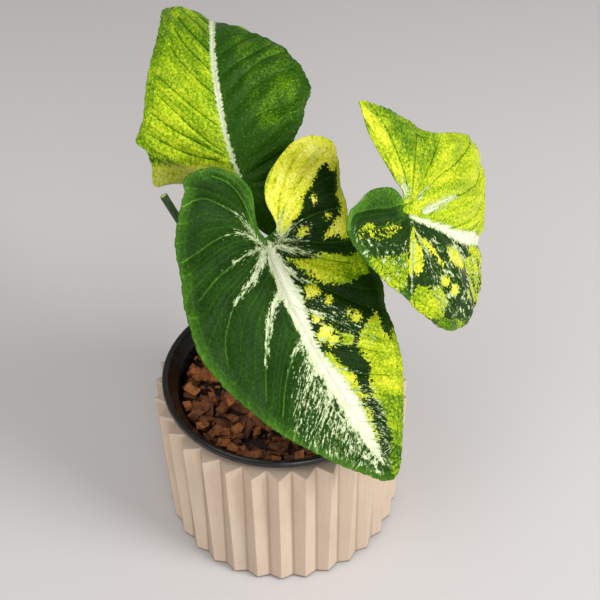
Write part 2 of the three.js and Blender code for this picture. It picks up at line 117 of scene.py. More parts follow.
# Each leaf is laid out flat in its own plane: u runs from the stalk's joint along the midrib to the
# tip, v to the right of it. midrib lists stops of u, from past the tip back to the joint. margin
# gives the point that each of them runs out to, for the right half under 1 and for the left under
# -1, and lobe runs on behind the joint, as u and v on its inner edge and then on its outer edge.
# droop and sway bend the midrib, in degrees, and fold, curl, drop, crease and ripple shape the
# blade over it. foot is where the stalk leaves the bark, and reach is a point on its way up.
LEAVES = {
    "leaf_front": {
        "length": 134,
        "joint": (-4.7, -22.3, 216.9),
        "azimuth": 152,
        "elevation": -49,
        "roll": 0,
        "droop": (0, 8),
        "lobe_droop": 50,
        "sway": (-40, 24),
        "fold": {1: 0.20, -1: 0.12},
        "curl": {1: 0.3, -1: 0.5},
        "drop": {1: -0.1, -1: 0.2},
        "ripple": (0.8, 21),
        "foot": (1, -9.5),
        "reach": (2, -22, 160),
        "midrib": (139, 132, 122, 109, 94, 78, 62, 46, 32, 19, 8, 1, -3.5),
        "margin": {
            1: ((139, 0), (135, 6), (126, 12), (113, 20.5), (99, 28), (84, 36), (70, 42), (56, 47),
                (44, 51), (30, 53), (14, 50.5), (0, 47), (-12, 45)),
            -1: ((139, 0), (136, -6), (128, -12.5), (115, -22.5), (101, -33), (86, -41.5),
                 (73, -45), (58, -48), (44, -53), (30, -51), (14, -49.5), (0, -48.5), (-12, -49)),
        },
        "lobe": {
            1: ((-8, 2, -22, 41), (-15, 2.5, -31, 36.5), (-23, 2, -37, 36), (-29, 3, -40, 29),
                (-34, 7, -41, 23), (-38, 13, -40.5, 17.5)),
            -1: ((-7, -7, -24, -49), (-13, -7.2, -35, -49.5), (-20, -5.5, -45, -49),
                 (-27, -6, -50, -44), (-34, -9, -52, -35), (-41, -15, -50.5, -27),
                 (-45, -19, -48, -22.5)),
        },
    },
    "leaf_left": {
        "length": 124,
        "joint": (-19.8, 19, 229.5),
        "azimuth": -41,
        "elevation": 58,
        "roll": -25,
        "droop": (28, 74),
        "lobe_droop": 20,
        "sway": (34, 14),
        "fold": {1: 0.10, -1: 0.10},
        "curl": {1: 0.08, -1: 0.65},
        "drop": {1: 0.4, -1: 0.4},
        "crease": (0.032, 0.27, 2.7),
        "ripple": (0.7, 19),
        "foot": (-6, 7.5),
        "reach": (-10, 24, 165),
        "midrib": (130, 122, 113, 103, 92, 80, 67, 54, 42, 31, 21, 12, 4, -3),
        "margin": {
            1: ((130, 0), (126, 6), (118, 13), (109, 19), (99, 26), (89, 33), (79, 38), (68, 42),
                (58, 45.5), (47, 48), (37, 48), (28, 43.5), (19, 40), (11, 34)),
            -1: ((130, 0), (125, -8), (118, -17), (110, -24), (101, -27.5), (90, -27.5),
                 (78, -28.5), (67, -31), (57, -34), (47, -36.5), (39, -39), (30, -45),
                 (26, -41.5), (20, -40.5)),
        },
        "lobe": {
            1: ((-5, -2, 4, 31), (-12, -3, -4, 31), (-20, -3.5, -14, 32), (-29, -2, -25, 32),
                (-38, 3, -36, 29), (-45, 10, -45, 20)),
            -1: ((-3.5, -5, 16.5, -41.5), (-1.5, -10, 13, -42.8), (4, -16, 10.5, -43),
                 (8, -23, 9, -41.5), (8.8, -30, 8.8, -37)),
        },
    },
    "leaf_right": {
        "length": 126,
        "joint": (64, -16.6, 231.1),
        "azimuth": 66,
        "elevation": -35,
        "roll": 60,
        "droop": (11, 76),
        "lobe_droop": -20,
        "sway": (-18, 10),
        "fold": {1: 0.40, -1: 0.05},
        "curl": {1: 0.5, -1: 0.5},
        "drop": {1: -0.3, -1: -0.3},
        "ripple": (0.8, 20),
        "foot": (9.5, 0),
        "reach": (34, 4, 165),
        "midrib": (128, 121, 112, 101, 89, 77, 65, 53, 42, 31, 21, 12, 4, -4),
        "margin": {
            1: ((128, 0), (123, 5), (115, 11), (106, 17), (95, 25), (84, 33), (73, 40), (62, 45.5),
                (50, 49.5), (37, 50), (25, 47.5), (14, 44), (3, 39.5), (-10, 36)),
            -1: ((128, 0), (124, -7), (117, -15), (108, -23), (98, -32), (87, -40), (75, -47),
                 (63, -51.5), (51, -53), (39, -52), (27, -49.5), (15, -46), (4, -43.5), (-7, -43)),
        },
        "lobe": {
            1: ((-7.5, -4.5, -20, 33), (-12, -6.8, -29, 30), (-19, -7.5, -37, 26.5),
                (-26, -5, -42.5, 22.5), (-32, -1, -43.5, 17), (-37, 6, -42.5, 12)),
            -1: ((-8.5, -9, -17, -43), (-15, -11.5, -28, -41.8), (-24, -15.5, -38, -40),
                 (-34, -19.5, -47, -37.5), (-43, -24, -53, -35.5), (-50, -29.5, -54.5, -33.8)),
        },
    },
}

CUT_STALK = {"foot": (-9.2, -1.5), "path": ((-14, -1, 125), (-33, 4, 170), (-59, 10.6, 224.3))}

# What is drawn on each half of a blade, all in u and in w, the distance out from the midrib.
# midrib_cream lists the cream band's width at stops of u. A vein is its course from the midrib out,
# the width of the cream that follows it and how far that reaches; veins run from tip to lobe. A
# splash is yellow: its tone, from 0 for olive to 1 for lemon, how solid it is, and its outline. A
# spot is u, w, radius and tone. A fleck zone is how solid its white flecks are, and its outline. A
# glow softly changes the yellow's tone: the tone it reaches, how wide its rim is, and its outline.
# Feather is how far the midrib's cream frays, lime is how far the yellow leans to green, and cast
# makes the green of the half lighter or darker.
MARKINGS = {
    ("leaf_front", 1): {
        "midrib_cream": ((0, 2), (8, 3.5), (20, 3), (26, 4), (36, 3.4), (46, 4.5), (56, 5),
                         (66, 5.5), (80, 5), (95, 5.2), (110, 4.5), (122, 3), (130, 0.5)),
        "feather": 1.0,
        "veins": (
            (((117, 0), (121, 6)), 0.6, 6),
            (((105, 0), (111, 8), (115, 13)), 1.4, 12),
            (((92, 0), (99, 10), (104, 16), (108, 20)), 1.8, 20),
            (((77, 0), (84, 10), (89, 18), (94, 24), (100, 28)), 1.8, 27),
            (((62, 0), (68, 10), (73, 18), (81, 28), (86, 34)), 2.0, 31),
            (((46, 0), (52, 10), (58, 18), (66, 26), (74, 32)), 1.2, 20),
            (((22, 0), (29, 10), (35, 16), (43, 22), (52, 28), (63, 35)), 2.3, 42),
            (((2, 2), (10, 10), (15, 18), (20, 28), (30, 38), (40, 43)), 2.2, 38),
            (((0, 3), (1, 12), (3, 20), (7, 32), (12, 42)), 1.0, 20),
            (((-2, 3), (-8, 10), (-10, 16), (-9, 26), (-6, 36), (-4, 44)), 1.2, 20),
            (((-3, 4), (-12, 8), (-18, 12), (-23, 18), (-28, 28), (-26, 38)), 0.8, 20),
            (((-4, 5), (-14, 5), (-25, 8), (-33, 14), (-37, 22)), 0, 0),
        ),
        "flecks": (
            (0.1, ((48, 3), (56, 8), (68, 13), (84, 16), (100, 14), (116, 9), (130, 2))),
            (-0.6, ((58, 6), (64, 16), (74, 24), (84, 29), (96, 26), (108, 19), (120, 12),
                    (130, 4))),
        ),
        "lime": 0.0,
        "cast": -0.03,
    },
    ("leaf_front", -1): {
        "midrib_cream": ((0, 2), (8, 4), (15, 6), (24, 6.6), (34, 6.8), (45, 4.4), (60, 3), (66, 4),
                         (75, 6), (90, 7), (105, 5), (118, 3), (126, 0.5)),
        "feather": 0.8,
        "veins": (
            (((112, 0), (118, 5)), 0.5, 6),
            (((100, 0), (108, 8), (114, 12)), 0.8, 10),
            (((90, 0), (99, 10), (106, 16)), 0.8, 14),
            (((80, 0), (89, 10), (99, 20)), 0.8, 14),
            (((66, 0), (75, 9), (82, 16), (92, 28)), 1.2, 18),
            (((50, 0), (58, 9), (64, 16), (78, 30)), 0.8, 14),
            (((30, 0), (38, 6), (46, 14), (54, 20), (62, 25), (72, 34)), 1.6, 34),
            (((0, 0), (10, 3), (20, 8.5), (28, 16), (34, 22), (44, 30), (54, 38)), 2.6, 34),
            (((2, 5), (8, 14), (15, 24), (20, 31), (26, 40)), 1.8, 24),
            (((0, 8), (2, 16), (6, 24), (9, 32), (12, 42)), 0.8, 12),
            (((-1, 6), (-5, 14), (-8, 22), (-10, 32), (-10, 44)), 1.2, 16),
            (((-4, 7), (-14, 12), (-22, 18), (-32, 28), (-40, 38)), 1.0, 14),
            (((-6, 8), (-18, 11), (-28, 16), (-38, 22), (-46, 30)), 0, 0),
        ),
        "flecks": (
            (-0.7, ((84, 3), (90, 14), (104, 14), (118, 9), (130, 3), (132, 0), (100, 2))),
            (-1.0, ((28, 8), (44, 20), (60, 28), (70, 30), (64, 16), (50, 6))),
            (-1.0, ((-2, 8), (-6, 16), (-4, 24), (4, 20), (4, 10))),
        ),
        "splashes": (
            (1.0, 3, ((-2, 9), (-9, 18), (-14, 22), (-22, 26), (-29, 32), (-36, 40), (-37, 52),
                      (-60, 52), (-60, 4), (-10, 4))),
            (1.0, 3, ((12, 54), (10, 44), (8, 35), (6, 30), (3, 31), (1, 35), (-2, 38), (-5, 43),
                      (-12, 45), (-18, 42), (-21, 45), (-34, 48), (-36, 54))),
            (0.66, 3, ((9, 7), (14, 10), (21, 16), (29, 22), (34, 28), (36, 36), (35, 46), (29, 50),
                      (21, 49), (20, 40), (17, 31), (13, 21))),
            (0.62, 3, ((58, 39), (61, 31), (64, 24), (70, 20), (80, 21), (84, 16), (95, 15),
                       (108, 14), (115, 11), (122, 8), (131, 3), (139, 0), (139, 12), (100, 40),
                       (86, 44), (75, 46), (73, 43), (78, 40), (70, 38))),
            (0.75, 1.2, ((62, 4), (70, 8), (78, 11), (88, 10), (98, 9), (108, 6), (116, 4),
                         (108, 3), (92, 4), (78, 4))),
        ),
        "glows": (
            (0.98, 10, ((-8, 2), (-20, 6), (-34, 16), (-44, 30), (-48, 20), (-30, 4), (-12, 0))),
            (0.45, 8, ((104, 30), (96, 12), (110, 8), (124, 2), (140, -4), (140, 20))),
            (0.45, 8, ((20, 40), (26, 34), (34, 32), (40, 40), (36, 52), (24, 52))),
        ),
        "spots": (
            (30, 12, 4.2, 1), (38, 18, 2, 1), (44, 8, 3, 1), (52, 9, 4, 1), (58, 11, 3, 1),
            (62, 17, 3, 0.6), (54, 27, 3, 0.9), (50, 25, 2, 0.9), (-17, 30, 2.8, 1),
            (-34, 44, 2.6, 1), (-7, 36, 1.6, 0.9), (-1, 19, 2.4, 0.9),
        ),
        "lime": 0.1,
        "cast": -0.22,
    },
    ("leaf_left", 1): {
        "midrib_cream": ((0, 1), (10, 0.9), (20, 1.2), (30, 1.8), (40, 2.2), (60, 2), (80, 1.7),
                         (100, 1.4), (125, 1)),
        "feather": 0.5,
        "veins": (
            (((98, 2), (104, 7), (110, 12)), 0, 0),
            (((80, 3), (84, 8), (90, 16), (96, 22)), 0, 0),
            (((68, 4), (72, 8), (78, 14), (86, 20), (92, 28)), 0, 0),
            (((55, 4), (60, 10), (66, 18), (74, 26), (82, 34)), 0, 0),
            (((43, 3), (48, 9), (53, 14), (58, 20), (64, 26), (72, 38)), 0, 0),
            (((33, 3), (37, 10), (42, 16), (48, 22), (56, 40)), 0, 0),
            (((17, 2), (22, 10), (28, 18), (30, 26), (31, 36), (36, 44)), 0, 0),
            (((6, 4), (9, 12), (13, 22), (18, 30), (21, 40)), 0, 0),
            (((0, 3), (1, 8), (3, 16), (6, 32)), 0, 0),
            (((-4, 2), (-6, 10), (-4, 18), (-2, 30)), 0, 0),
            (((-6, 1), (-10, 8), (-12, 14), (-20, 30)), 0, 0),
        ),
        "splashes": (
            (-0.2, 5, ((-60, -8), (140, -8), (140, 80), (-60, 80))),
        ),
        "glows": (
            (0.88, 14, ((34, 24), (48, 22), (64, 22), (80, 20), (96, 10), (108, 12), (100, 40),
                        (60, 60), (44, 52), (46, 40))),
            (0.12, 10, ((20, 14), (44, 14), (70, 12), (96, 6), (104, 30), (60, 60), (24, 50),
                        (16, 30))),
        ),
        "lime": 0.25,
        "cast": 0.03,
    },
    ("leaf_left", -1): {
        "midrib_cream": ((0, 1.2), (10, 1.8), (20, 1.5), (40, 1.2), (60, 1.2), (75, 1.5), (90, 2),
                         (100, 2.2), (120, 1.5)),
        "feather": 0.5,
        "veins": (
            (((95, 2), (104, 8), (112, 13)), 0, 0),
            (((82, 2), (92, 8), (101, 14)), 0, 0),
            (((70, 2), (78, 8), (86, 14), (96, 19)), 0, 0),
            (((58, 2), (65, 8), (73, 14), (84, 20)), 0, 0),
            (((45, 2), (53, 9), (62, 16), (72, 22)), 0, 0),
            (((28, 3), (38, 12), (48, 21), (56, 28)), 0, 0),
            (((14, 3), (26, 13), (38, 22), (48, 30)), 0, 0),
            (((13, 4), (22, 14), (31, 25), (40, 34)), 0, 0),
            (((12, 8), (18, 20), (26, 31), (32, 38)), 0, 0),
        ),
        "splashes": (
            (0.54, 5, ((-10, -8), (140, -8), (140, 60), (-10, 60))),
            (0.64, 5, ((14, 6), (30, 8), (48, 4), (52, 14), (50, 30), (34, 40), (20, 34))),
        ),
        "glows": (
            (0.42, 14, ((64, -6), (140, -6), (140, 60), (84, 60), (74, 22))),
            # Painted light: the folded flap of this lobe, which faces down into shade, is brightened
            # toward cream-yellow as if lit
            (1.15, 5, ((20, 42), (16, 28), (13, 14), (6, 2), (-20, -4), (-60, 20), (-60, 60),
                       (20, 60))),
        ),
        "lime": 0.32,
        "cast": 0.1,
    },
    ("leaf_right", 1): {
        "midrib_cream": ((0, 1), (5, 1.6), (15, 2), (25, 2.4), (33, 3.4), (40, 4.6), (45, 5.4),
                         (50, 5), (58, 4), (70, 3), (100, 2), (124, 0.5)),
        "feather": 0.5,
        "veins": (
            (((104, 0), (112, 8)), 0, 0),
            (((86, 0), (96, 10), (104, 16)), 0, 0),
            (((66, 0), (76, 10), (86, 20), (94, 26)), 0.8, 12),
            (((48, 1), (58, 10), (68, 20), (78, 30), (84, 34)), 1.0, 20),
            (((33, 2), (42, 9), (52, 15), (60, 20), (72, 32)), 1.4, 26),
            (((3, 3), (12, 13), (20, 19), (25, 24), (30, 30), (44, 44)), 0.9, 24),
            (((4, 12), (5, 24), (6, 34), (10, 42)), 0.9, 22),
            (((-5, 4), (-12, 8), (-22, 12), (-34, 18)), 0, 0),
        ),
        "flecks": (
            (-0.7, ((8, 6), (24, 10), (50, 8), (70, 12), (66, 38), (40, 42), (20, 34))),
            (-1.0, ((2, 14), (-10, 20), (-24, 24), (-38, 22), (-34, 32), (-10, 38), (4, 36))),
        ),
        "splashes": (
            (0.85, 2.5, ((4, 5), (10, 8), (18, 10), (28, 18), (25, 20), (16, 15), (8, 11))),
            (0.9, 2.5, ((28, 10), (36, 7), (46, 12), (46, 18), (36, 18), (30, 15))),
            (0.8, 2.5, ((2, 4), (8, 16), (11, 24), (8, 28), (6, 24), (4, 30), (1, 26), (0, 14))),
            (0.62, 1.6, ((8, 33), (18, 31), (28, 30), (36, 36), (32, 46), (8, 46))),
            (0.7, 0.6, ((50, 5), (76, 4), (100, 8), (96, 24), (76, 34), (60, 30), (50, 18))),
            (0.4, 2, ((44, 44), (30, 45), (30, 60), (56, 60), (56, 46))),
            (0.5, 1.2, ((0, 18), (-8, 22), (-18, 26), (-26, 28), (-22, 36), (-6, 40), (2, 34))),
            (0.8, -0.4, ((-6, 8), (-14, 10), (-26, 14), (-36, 18), (-34, 22), (-18, 17))),
        ),
        "spots": ((38, 30, 3, 0.9), (52, 31, 2, 0.8), (30, 26, 2, 0.7)),
        "lime": 0.1,
        "cast": -0.1,
    },
    ("leaf_right", -1): {
        "midrib_cream": ((0, 0.6), (10, 1.6), (20, 2), (30, 2.2), (40, 2.2), (50, 3), (60, 4),
                         (75, 3), (100, 2), (124, 0.5)),
        "feather": 0.45,
        "veins": (
            (((96, 0), (106, 10)), 0, 0),
            (((80, 0), (92, 10), (100, 20)), 0, 0),
            (((64, 1), (76, 8), (88, 20), (94, 30)), 0, 0),
            (((45, 1), (60, 6), (74, 14), (86, 30)), 0, 0),
            (((28, 0), (38, 3), (48, 7), (56, 11), (64, 15), (80, 32)), 0, 0),
            (((10, 5), (20, 11), (30, 17), (40, 21), (50, 26), (60, 30), (72, 44)), 2.4, 36),
            (((3, 10), (10, 18), (17, 25), (28, 33), (40, 41), (50, 50)), 0.7, 12),
            (((2, 14), (7, 26), (12, 38), (16, 44)), 0, 0),
            (((-2, 12), (-4, 24), (-5, 40)), 0, 0),
            (((-6, 12), (-14, 20), (-26, 28), (-40, 34), (-50, 36)), 0, 0),
        ),
        "flecks": (
            (1.4, ((-4, 7), (-8, 8), (-12, 10), (-13, 13), (-9, 13), (-5, 11))),
        ),
        "splashes": (
            (0.68, 5, ((-70, -8), (140, -8), (140, 70), (-70, 70))),
            (0.84, 5, ((-12, 16), (-26, 14), (-44, 22), (-54, 32), (-44, 34), (-24, 24))),
        ),
        "glows": (
            (0.46, 12, ((-40, 40), (-24, 27), (-8, 24), (8, 26), (14, 44), (-10, 60), (-40, 60))),
            (0.72, 12, ((34, 26), (60, 20), (90, 16), (90, 40), (50, 44))),
        ),
        "lime": 0.2,
        "cast": 0.1,
    },
}


def smooth_curve(stops, count):
    """Evenly spread points on a smooth curve through the stops, as many as count."""
    stops = np.asarray(stops, float)
    at = np.linspace(0, len(stops) - 1, count)
    index = np.minimum(at.astype(int), len(stops) - 2)
    part = (at - index)[:, None]
    start = stops[index]
    end = stops[index + 1]
    slope_in = (end - stops[np.maximum(index - 1, 0)]) / 2
    slope_out = (stops[np.minimum(index + 2, len(stops) - 1)] - start) / 2
    rest = 1 - part
    settled = start * rest**2 * (1 + 2 * part) + end * part**2 * (1 + 2 * rest)
    return settled + slope_in * part * rest**2 - slope_out * part**2 * rest


def line_distance(points, line):
    """For each point, how far it is from the line, how far along that is, and which side it is on."""
    nearest = np.full(len(points), np.inf)
    along = np.zeros(len(points))
    side = np.zeros(len(points))
    walked = 0.0
    for start, end in zip(line[:-1], line[1:]):
        step = end - start
        length = max(math.hypot(*step), 1e-6)
        offset = points - start
        part = np.clip(offset @ step / length**2, 0, 1)
        away = offset - part[:, None] * step
        distance = np.hypot(away[:, 0], away[:, 1])
        nearer = distance < nearest
        turn = step[0] * offset[:, 1] - step[1] * offset[:, 0]
        nearest[nearer] = distance[nearer]
        along[nearer] = walked + part[nearer] * length
        side[nearer] = np.sign(turn[nearer])
        walked += length
    return nearest, along, side


def depth_inside(points, outline):
    """How deep each point lies inside an outline, and below zero how far outside it is."""
    closed = np.array([*outline, outline[0]], float)
    distance, _, _ = line_distance(points, closed)
    crossings = np.zeros(len(points), int)
    for (u_a, w_a), (u_b, w_b) in zip(closed[:-1], closed[1:]):
        if w_a == w_b:
            continue
        spans = (points[:, 1] > w_a) != (points[:, 1] > w_b)
        meets = u_a + (points[:, 1] - w_a) * (u_b - u_a) / (w_b - w_a)
        crossings += spans & (points[:, 0] < meets)
    return np.where(crossings % 2 == 1, distance, -distance)


def soft_step(x, low, high):
    """Rises smoothly from 0 to 1 as x goes from low to high."""
    part = np.clip((x - low) / (high - low), 0, 1)
    return part * part * (3 - 2 * part)


def ramp(x, softness):
    """Starts softly at zero and runs at full slope past the softness."""
    x = np.maximum(x, 0)
    return x * x / (x + softness)


# The shape of a blade

MIDRIB_SOFTNESS = 0.03
LOBE_SOFTNESS = 0.15
CREASE_SOFTNESS = 0.03
CREASE_START = 0.08
RIPPLE_WIDTH = 0.36
OPENING = 0.55


def leaf_axes(leaf):
    """The plane that a leaf leaves its joint in: along its midrib, to its right, up from its face."""
    azimuth = math.radians(leaf["azimuth"])
    elevation = math.radians(leaf["elevation"])
    roll = math.radians(leaf["roll"])
    flat = math.cos(elevation)
    along = np.array((math.sin(azimuth) * flat, math.cos(azimuth) * flat, math.sin(elevation)))
    level = np.array((math.cos(azimuth), -math.sin(azimuth), 0))
    rise = np.cross(level, along)
    across = level * math.cos(roll) - rise * math.sin(roll)
    up = rise * math.cos(roll) + level * math.sin(roll)
    return along, across, up


def midrib_frame(leaf, u):
    """Tangent, side and normal of the bent midrib at u."""
    along, across, up = leaf_axes(leaf)
    x = u / leaf["length"]
    near, far = leaf["droop"]
    pitch = np.radians(np.where(x > 0, near * x + far * x * x, -leaf["lobe_droop"] * x))[:, None]
    near, far = leaf["sway"]
    yaw = np.radians(near * x + far * x * np.abs(x))[:, None]
    tangent = along * np.cos(pitch) * np.cos(yaw) + across * np.cos(pitch) * np.sin(yaw)
    tangent = tangent - up * np.sin(pitch)
    side = across * np.cos(yaw) - along * np.sin(yaw)
    return tangent, side, np.cross(side, tangent)


def midrib_course(leaf, u):
    """Points of the bent midrib at u, added up in short steps away from the joint."""
    step = 0.5
    stops = np.arange(-70, 150, step)
    tangent, _, _ = midrib_frame(leaf, stops + step / 2)
    course = np.cumsum(tangent, axis=0) * step
    course = np.vstack((np.zeros(3), course))
    stops = np.append(stops, stops[-1] + step)
    course = course - course[np.searchsorted(stops, 0)] + np.array(leaf["joint"])
    return np.stack([np.interp(u, stops, course[:, axis]) for axis in range(3)], axis=1)


def blade_height(leaf, half, u, v):
    """Height of the blade over its midrib."""
    x = u / leaf["length"]
    w = np.abs(v) / leaf["length"]
    right = half > 0
    fold = np.where(right, leaf["fold"][1], leaf["fold"][-1])
    curl = np.where(right, leaf["curl"][1], leaf["curl"][-1])
    drop = np.where(right, leaf["drop"][1], leaf["drop"][-1])
    opened = 1 - OPENING * np.clip(x, 0, 1)
    height = fold * (np.hypot(w, MIDRIB_SOFTNESS) - MIDRIB_SOFTNESS) * opened
    height -= curl * w * w + drop * ramp(-x, LOBE_SOFTNESS)
    if "crease" in leaf:
        start, spread, slope = leaf["crease"]
        fall = slope * ramp(start + spread * np.sqrt(w) - x, CREASE_SOFTNESS)
        height -= np.where(right, 0, fall * np.minimum(w / CREASE_START, 1))
    swing, length = leaf["ripple"]
    wave = np.minimum(w / RIPPLE_WIDTH, 1)**3 * np.sin(2 * math.pi * u / length + half)
    return height * leaf["length"] + swing * wave


def blade_points(leaf, half, u, v):
    _, side, normal = midrib_frame(leaf, u)
    height = blade_height(leaf, half, u, v)[:, None]
    return midrib_course(leaf, u) + side * v[:, None] + normal * height


def blade_normals(leaf, half, u, v):
    reach = 0.25
    along = blade_points(leaf, half, u + reach, v) - blade_points(leaf, half, u - reach, v)
    across = blade_points(leaf, half, u, v + reach) - blade_points(leaf, half, u, v - reach)
    normal = np.cross(across, along)
    return normal / np.linalg.norm(normal, axis=1, keepdims=True)


def half_edges(leaf, half):
    """Where the rows of one half start and end, from the tip to the end of its lobe."""
    inner = [(u, 0) for u in leaf["midrib"]] + [stop[:2] for stop in leaf["lobe"][half]]
    outer = [*leaf["margin"][half]] + [stop[2:] for stop in leaf["lobe"][half]]
    rows = BLADE_ROWS + 1
    starts = smooth_curve(inner, rows)
    ends = smooth_curve(outer, rows)
    sinus_row = BLADE_ROWS * (len(leaf["midrib"]) - 1) / (len(inner) - 1)
    starts[:, 1] = np.where(np.arange(rows) <= sinus_row, 0, starts[:, 1])
    return starts, roughen(ends)


def roughen(margin):
    """Gives a margin the small uneven scallops of a real one."""
    step = np.gradient(margin, axis=0)
    outward = np.stack((step[:, 1], -step[:, 0]), axis=1)
    outward /= np.maximum(np.linalg.norm(outward, axis=1, keepdims=True), 1e-6)
    length = np.cumsum(np.hypot(step[:, 0], step[:, 1]))
    scallop = 0.18 * np.sin(length * 2 * math.pi / 6.1) + 0.1 * np.sin(length * 2 * math.pi / 2.7)
    scallop = scallop * soft_step(length, 0, 10)
    return margin + outward * scallop[:, None]


def flat_blade(leaf):
    """The two halves of a blade laid out flat as grids, u along X and v along Y, and joined."""
    bm = bmesh.new()
    half_layer = bm.verts.layers.float.new("half")
    for half in (1, -1):
        starts, ends = half_edges(leaf, half)
        grid = bmesh.ops.create_grid(bm, x_segments=BLADE_CELLS, y_segments=BLADE_ROWS, size=1)
        for vertex in grid["verts"]:
            across = (vertex.co.x + 1) / 2
            row = round((vertex.co.y + 1) / 2 * BLADE_ROWS)
            u, v = starts[row] + (ends[row] - starts[row]) * across
            vertex.co = (u, v, 0)
            vertex[half_layer] = half
        if half > 0:
            faces = list({face for vertex in grid["verts"] for face in vertex.link_faces})
            bmesh.ops.reverse_faces(bm, faces=faces)
    bmesh.ops.remove_doubles(bm, verts=bm.verts, dist=0.01)
    return bm, half_layer


# What is drawn on a blade

LOOSE_GAP = 8
MARGIN_VEIN = 4.2
VEIN_STEPS = 24
HALF_APART = 100


def vein_field(points, veins):
    """Number of the vein before each point, counted on to the next one, and the gap between them."""
    lines = [smooth_curve(course, VEIN_STEPS) for course, _, _ in veins]
    fields = [line_distance(points, line) for line in lines]
    distance = np.array([field[0] for field in fields])
    count = np.sum([field[2] > 0 for field in fields], axis=0)
    everyone = np.arange(len(points))
    before = distance[np.maximum(count - 1, 0), everyone]
    after = distance[np.minimum(count, len(veins) - 1), everyone]
    before = np.where(count == 0, np.maximum(LOOSE_GAP - after, 0.01), before)
    after = np.where(count == len(veins), np.maximum(LOOSE_GAP - before, 0.01), after)
    phase = count - 1 + before / (before + after + 1e-6)
    return phase, before + after


def cream_field(points, marks):
    """How deep each point lies in the cream of the midrib, the veins and the fleck zones."""
    stops = np.array(marks["midrib_cream"], float)
    band = np.interp(points[:, 0], stops[:, 0], stops[:, 1], left=-3, right=-3)
    cream = (band - np.abs(points[:, 1])) / marks["feather"]
    for course, width, reach in marks["veins"]:
        if width == 0:
            continue
        distance, along, _ = line_distance(points, smooth_curve(course, VEIN_STEPS))
        cream = np.maximum(cream, width * (1 - 1.3 * (along / reach)**2) - distance)
    for solid, outline in marks.get("flecks", ()):
        cream = np.maximum(cream, np.minimum(depth_inside(points, outline) / 2, solid))
    return np.clip(cream, -6, 6)


def yolk_field(points, marks):
    """How deep each point lies in the yellow, and the tone of the yellow there."""
    yolk = np.full(len(points), -6.0)
    tone = np.full(len(points), 0.7)
    layers = [(value, solid, depth_inside(points, outline))
              for value, solid, outline in marks.get("splashes", ())]
    for u, w, radius, value in marks.get("spots", ()):
        layers.append((value, 3, radius - np.hypot(points[:, 0] - u, points[:, 1] - w)))
    for value, solid, depth in layers:
        yolk = np.maximum(yolk, np.minimum(depth, solid))
        tone += (value - tone) * soft_step(depth, -1.5, 2)
    for value, rim, outline in marks.get("glows", ()):
        tone += (value - tone) * soft_step(depth_inside(points, outline), -rim / 2, rim / 2)
    return yolk, tone


def margin_distance(points, leaf, half):
    starts, ends = half_edges(leaf, half)
    spans = len(leaf["midrib"]) - 1
    sinus_row = int(BLADE_ROWS * spans / (spans + len(leaf["lobe"][half])))
    edge = np.vstack((ends, starts[:sinus_row:-1]))[::3]
    return line_distance(points, edge)[0]


def blade_fields(name, u, v, half):
    """Everything drawn on a blade, worked out for each of its points."""
    leaf = LEAVES[name]
    names = ("phase", "gap", "cream", "yolk", "tone", "edge", "cast", "lime")
    fields = {key: np.zeros(len(u)) for key in names}
    for side in (1, -1):
        chosen = half == side
        marks = MARKINGS[name, side]
        points = np.stack((u[chosen], v[chosen] * side), axis=1)
        fields["phase"][chosen], fields["gap"][chosen] = vein_field(points, marks["veins"])
        fields["cream"][chosen] = cream_field(points, marks)
        fields["yolk"][chosen], fields["tone"][chosen] = yolk_field(points, marks)
        fields["cast"][chosen] = marks["cast"]
        fields["lime"][chosen] = marks["lime"]
        fields["edge"][chosen] = margin_distance(np.stack((u[chosen], v[chosen]), axis=1), leaf, side)
    # How far out from the midrib, moved on for each half so that no two share a stretch of noise
    halves_before = 2 * list(LEAVES).index(name) + np.where(half > 0, 0, 1)
    fields["run"] = np.hypot(np.minimum(u, 0), v) + HALF_APART * halves_before
    return fields


def blade_relief(u, v, fields):
    """Height of the veins' grooves and of the quilting between them, over the smooth blade."""
    part = fields["phase"] % 1
    vein_distance = np.minimum(part, 1 - part) * fields["gap"]
    w = np.abs(v)
    edge = fields["edge"]
    room = soft_step(w, 1, 9) * soft_step(edge, 0, 6)
    quilt = np.sin(math.pi * part)**2 * np.clip(fields["gap"] / 8, 0, 1.3)
    ribs = np.sin(3 * math.pi * fields["phase"])**2 * soft_step(w, 5, 16) * soft_step(edge, 0.5, 5)
    groove = np.exp(-(vein_distance / 0.8)**2) * soft_step(w, 0, 4) * soft_step(edge, 1, 8)
    midrib = np.exp(-(w / 1.3)**2) * soft_step(u, -6, 2) * soft_step(-u, -125, -60)
    hem = np.exp(-((edge - MARGIN_VEIN) / 0.7)**2)
    raised = QUILT_HEIGHT * quilt * room + FINE_RIB_HEIGHT * ribs
    return raised - GROOVE_DEPTH * (groove + midrib) - HEM_DEPTH * hem


def put_attribute(mesh, name, *columns):
    """Stores up to three numbers for each vertex of a mesh."""
    values = np.zeros((len(mesh.vertices), 3))
    for axis, column in enumerate(columns):
        values[:, axis] = column
    attribute = mesh.attributes.new(name, "FLOAT_VECTOR", "POINT")
    attribute.data.foreach_set("vector", values.ravel())


def finish_piece(name, bm, materials, node):
    """Makes a bmesh in millimetres the mesh of a piece that stands for a node of the frame."""
    bmesh.ops.scale(bm, vec=(MM, MM, MM), verts=bm.verts)
    mesh = bpy.data.meshes.new(name)
    bm.to_mesh(mesh)
    bm.free()
    piece = bpy.data.objects.new(name, mesh)
    bpy.context.scene.collection.objects.link(piece)
    for material in materials:
        mesh.materials.append(material)
    mesh.shade_smooth()
    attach(piece, "root")
    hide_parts(node)
    return piece


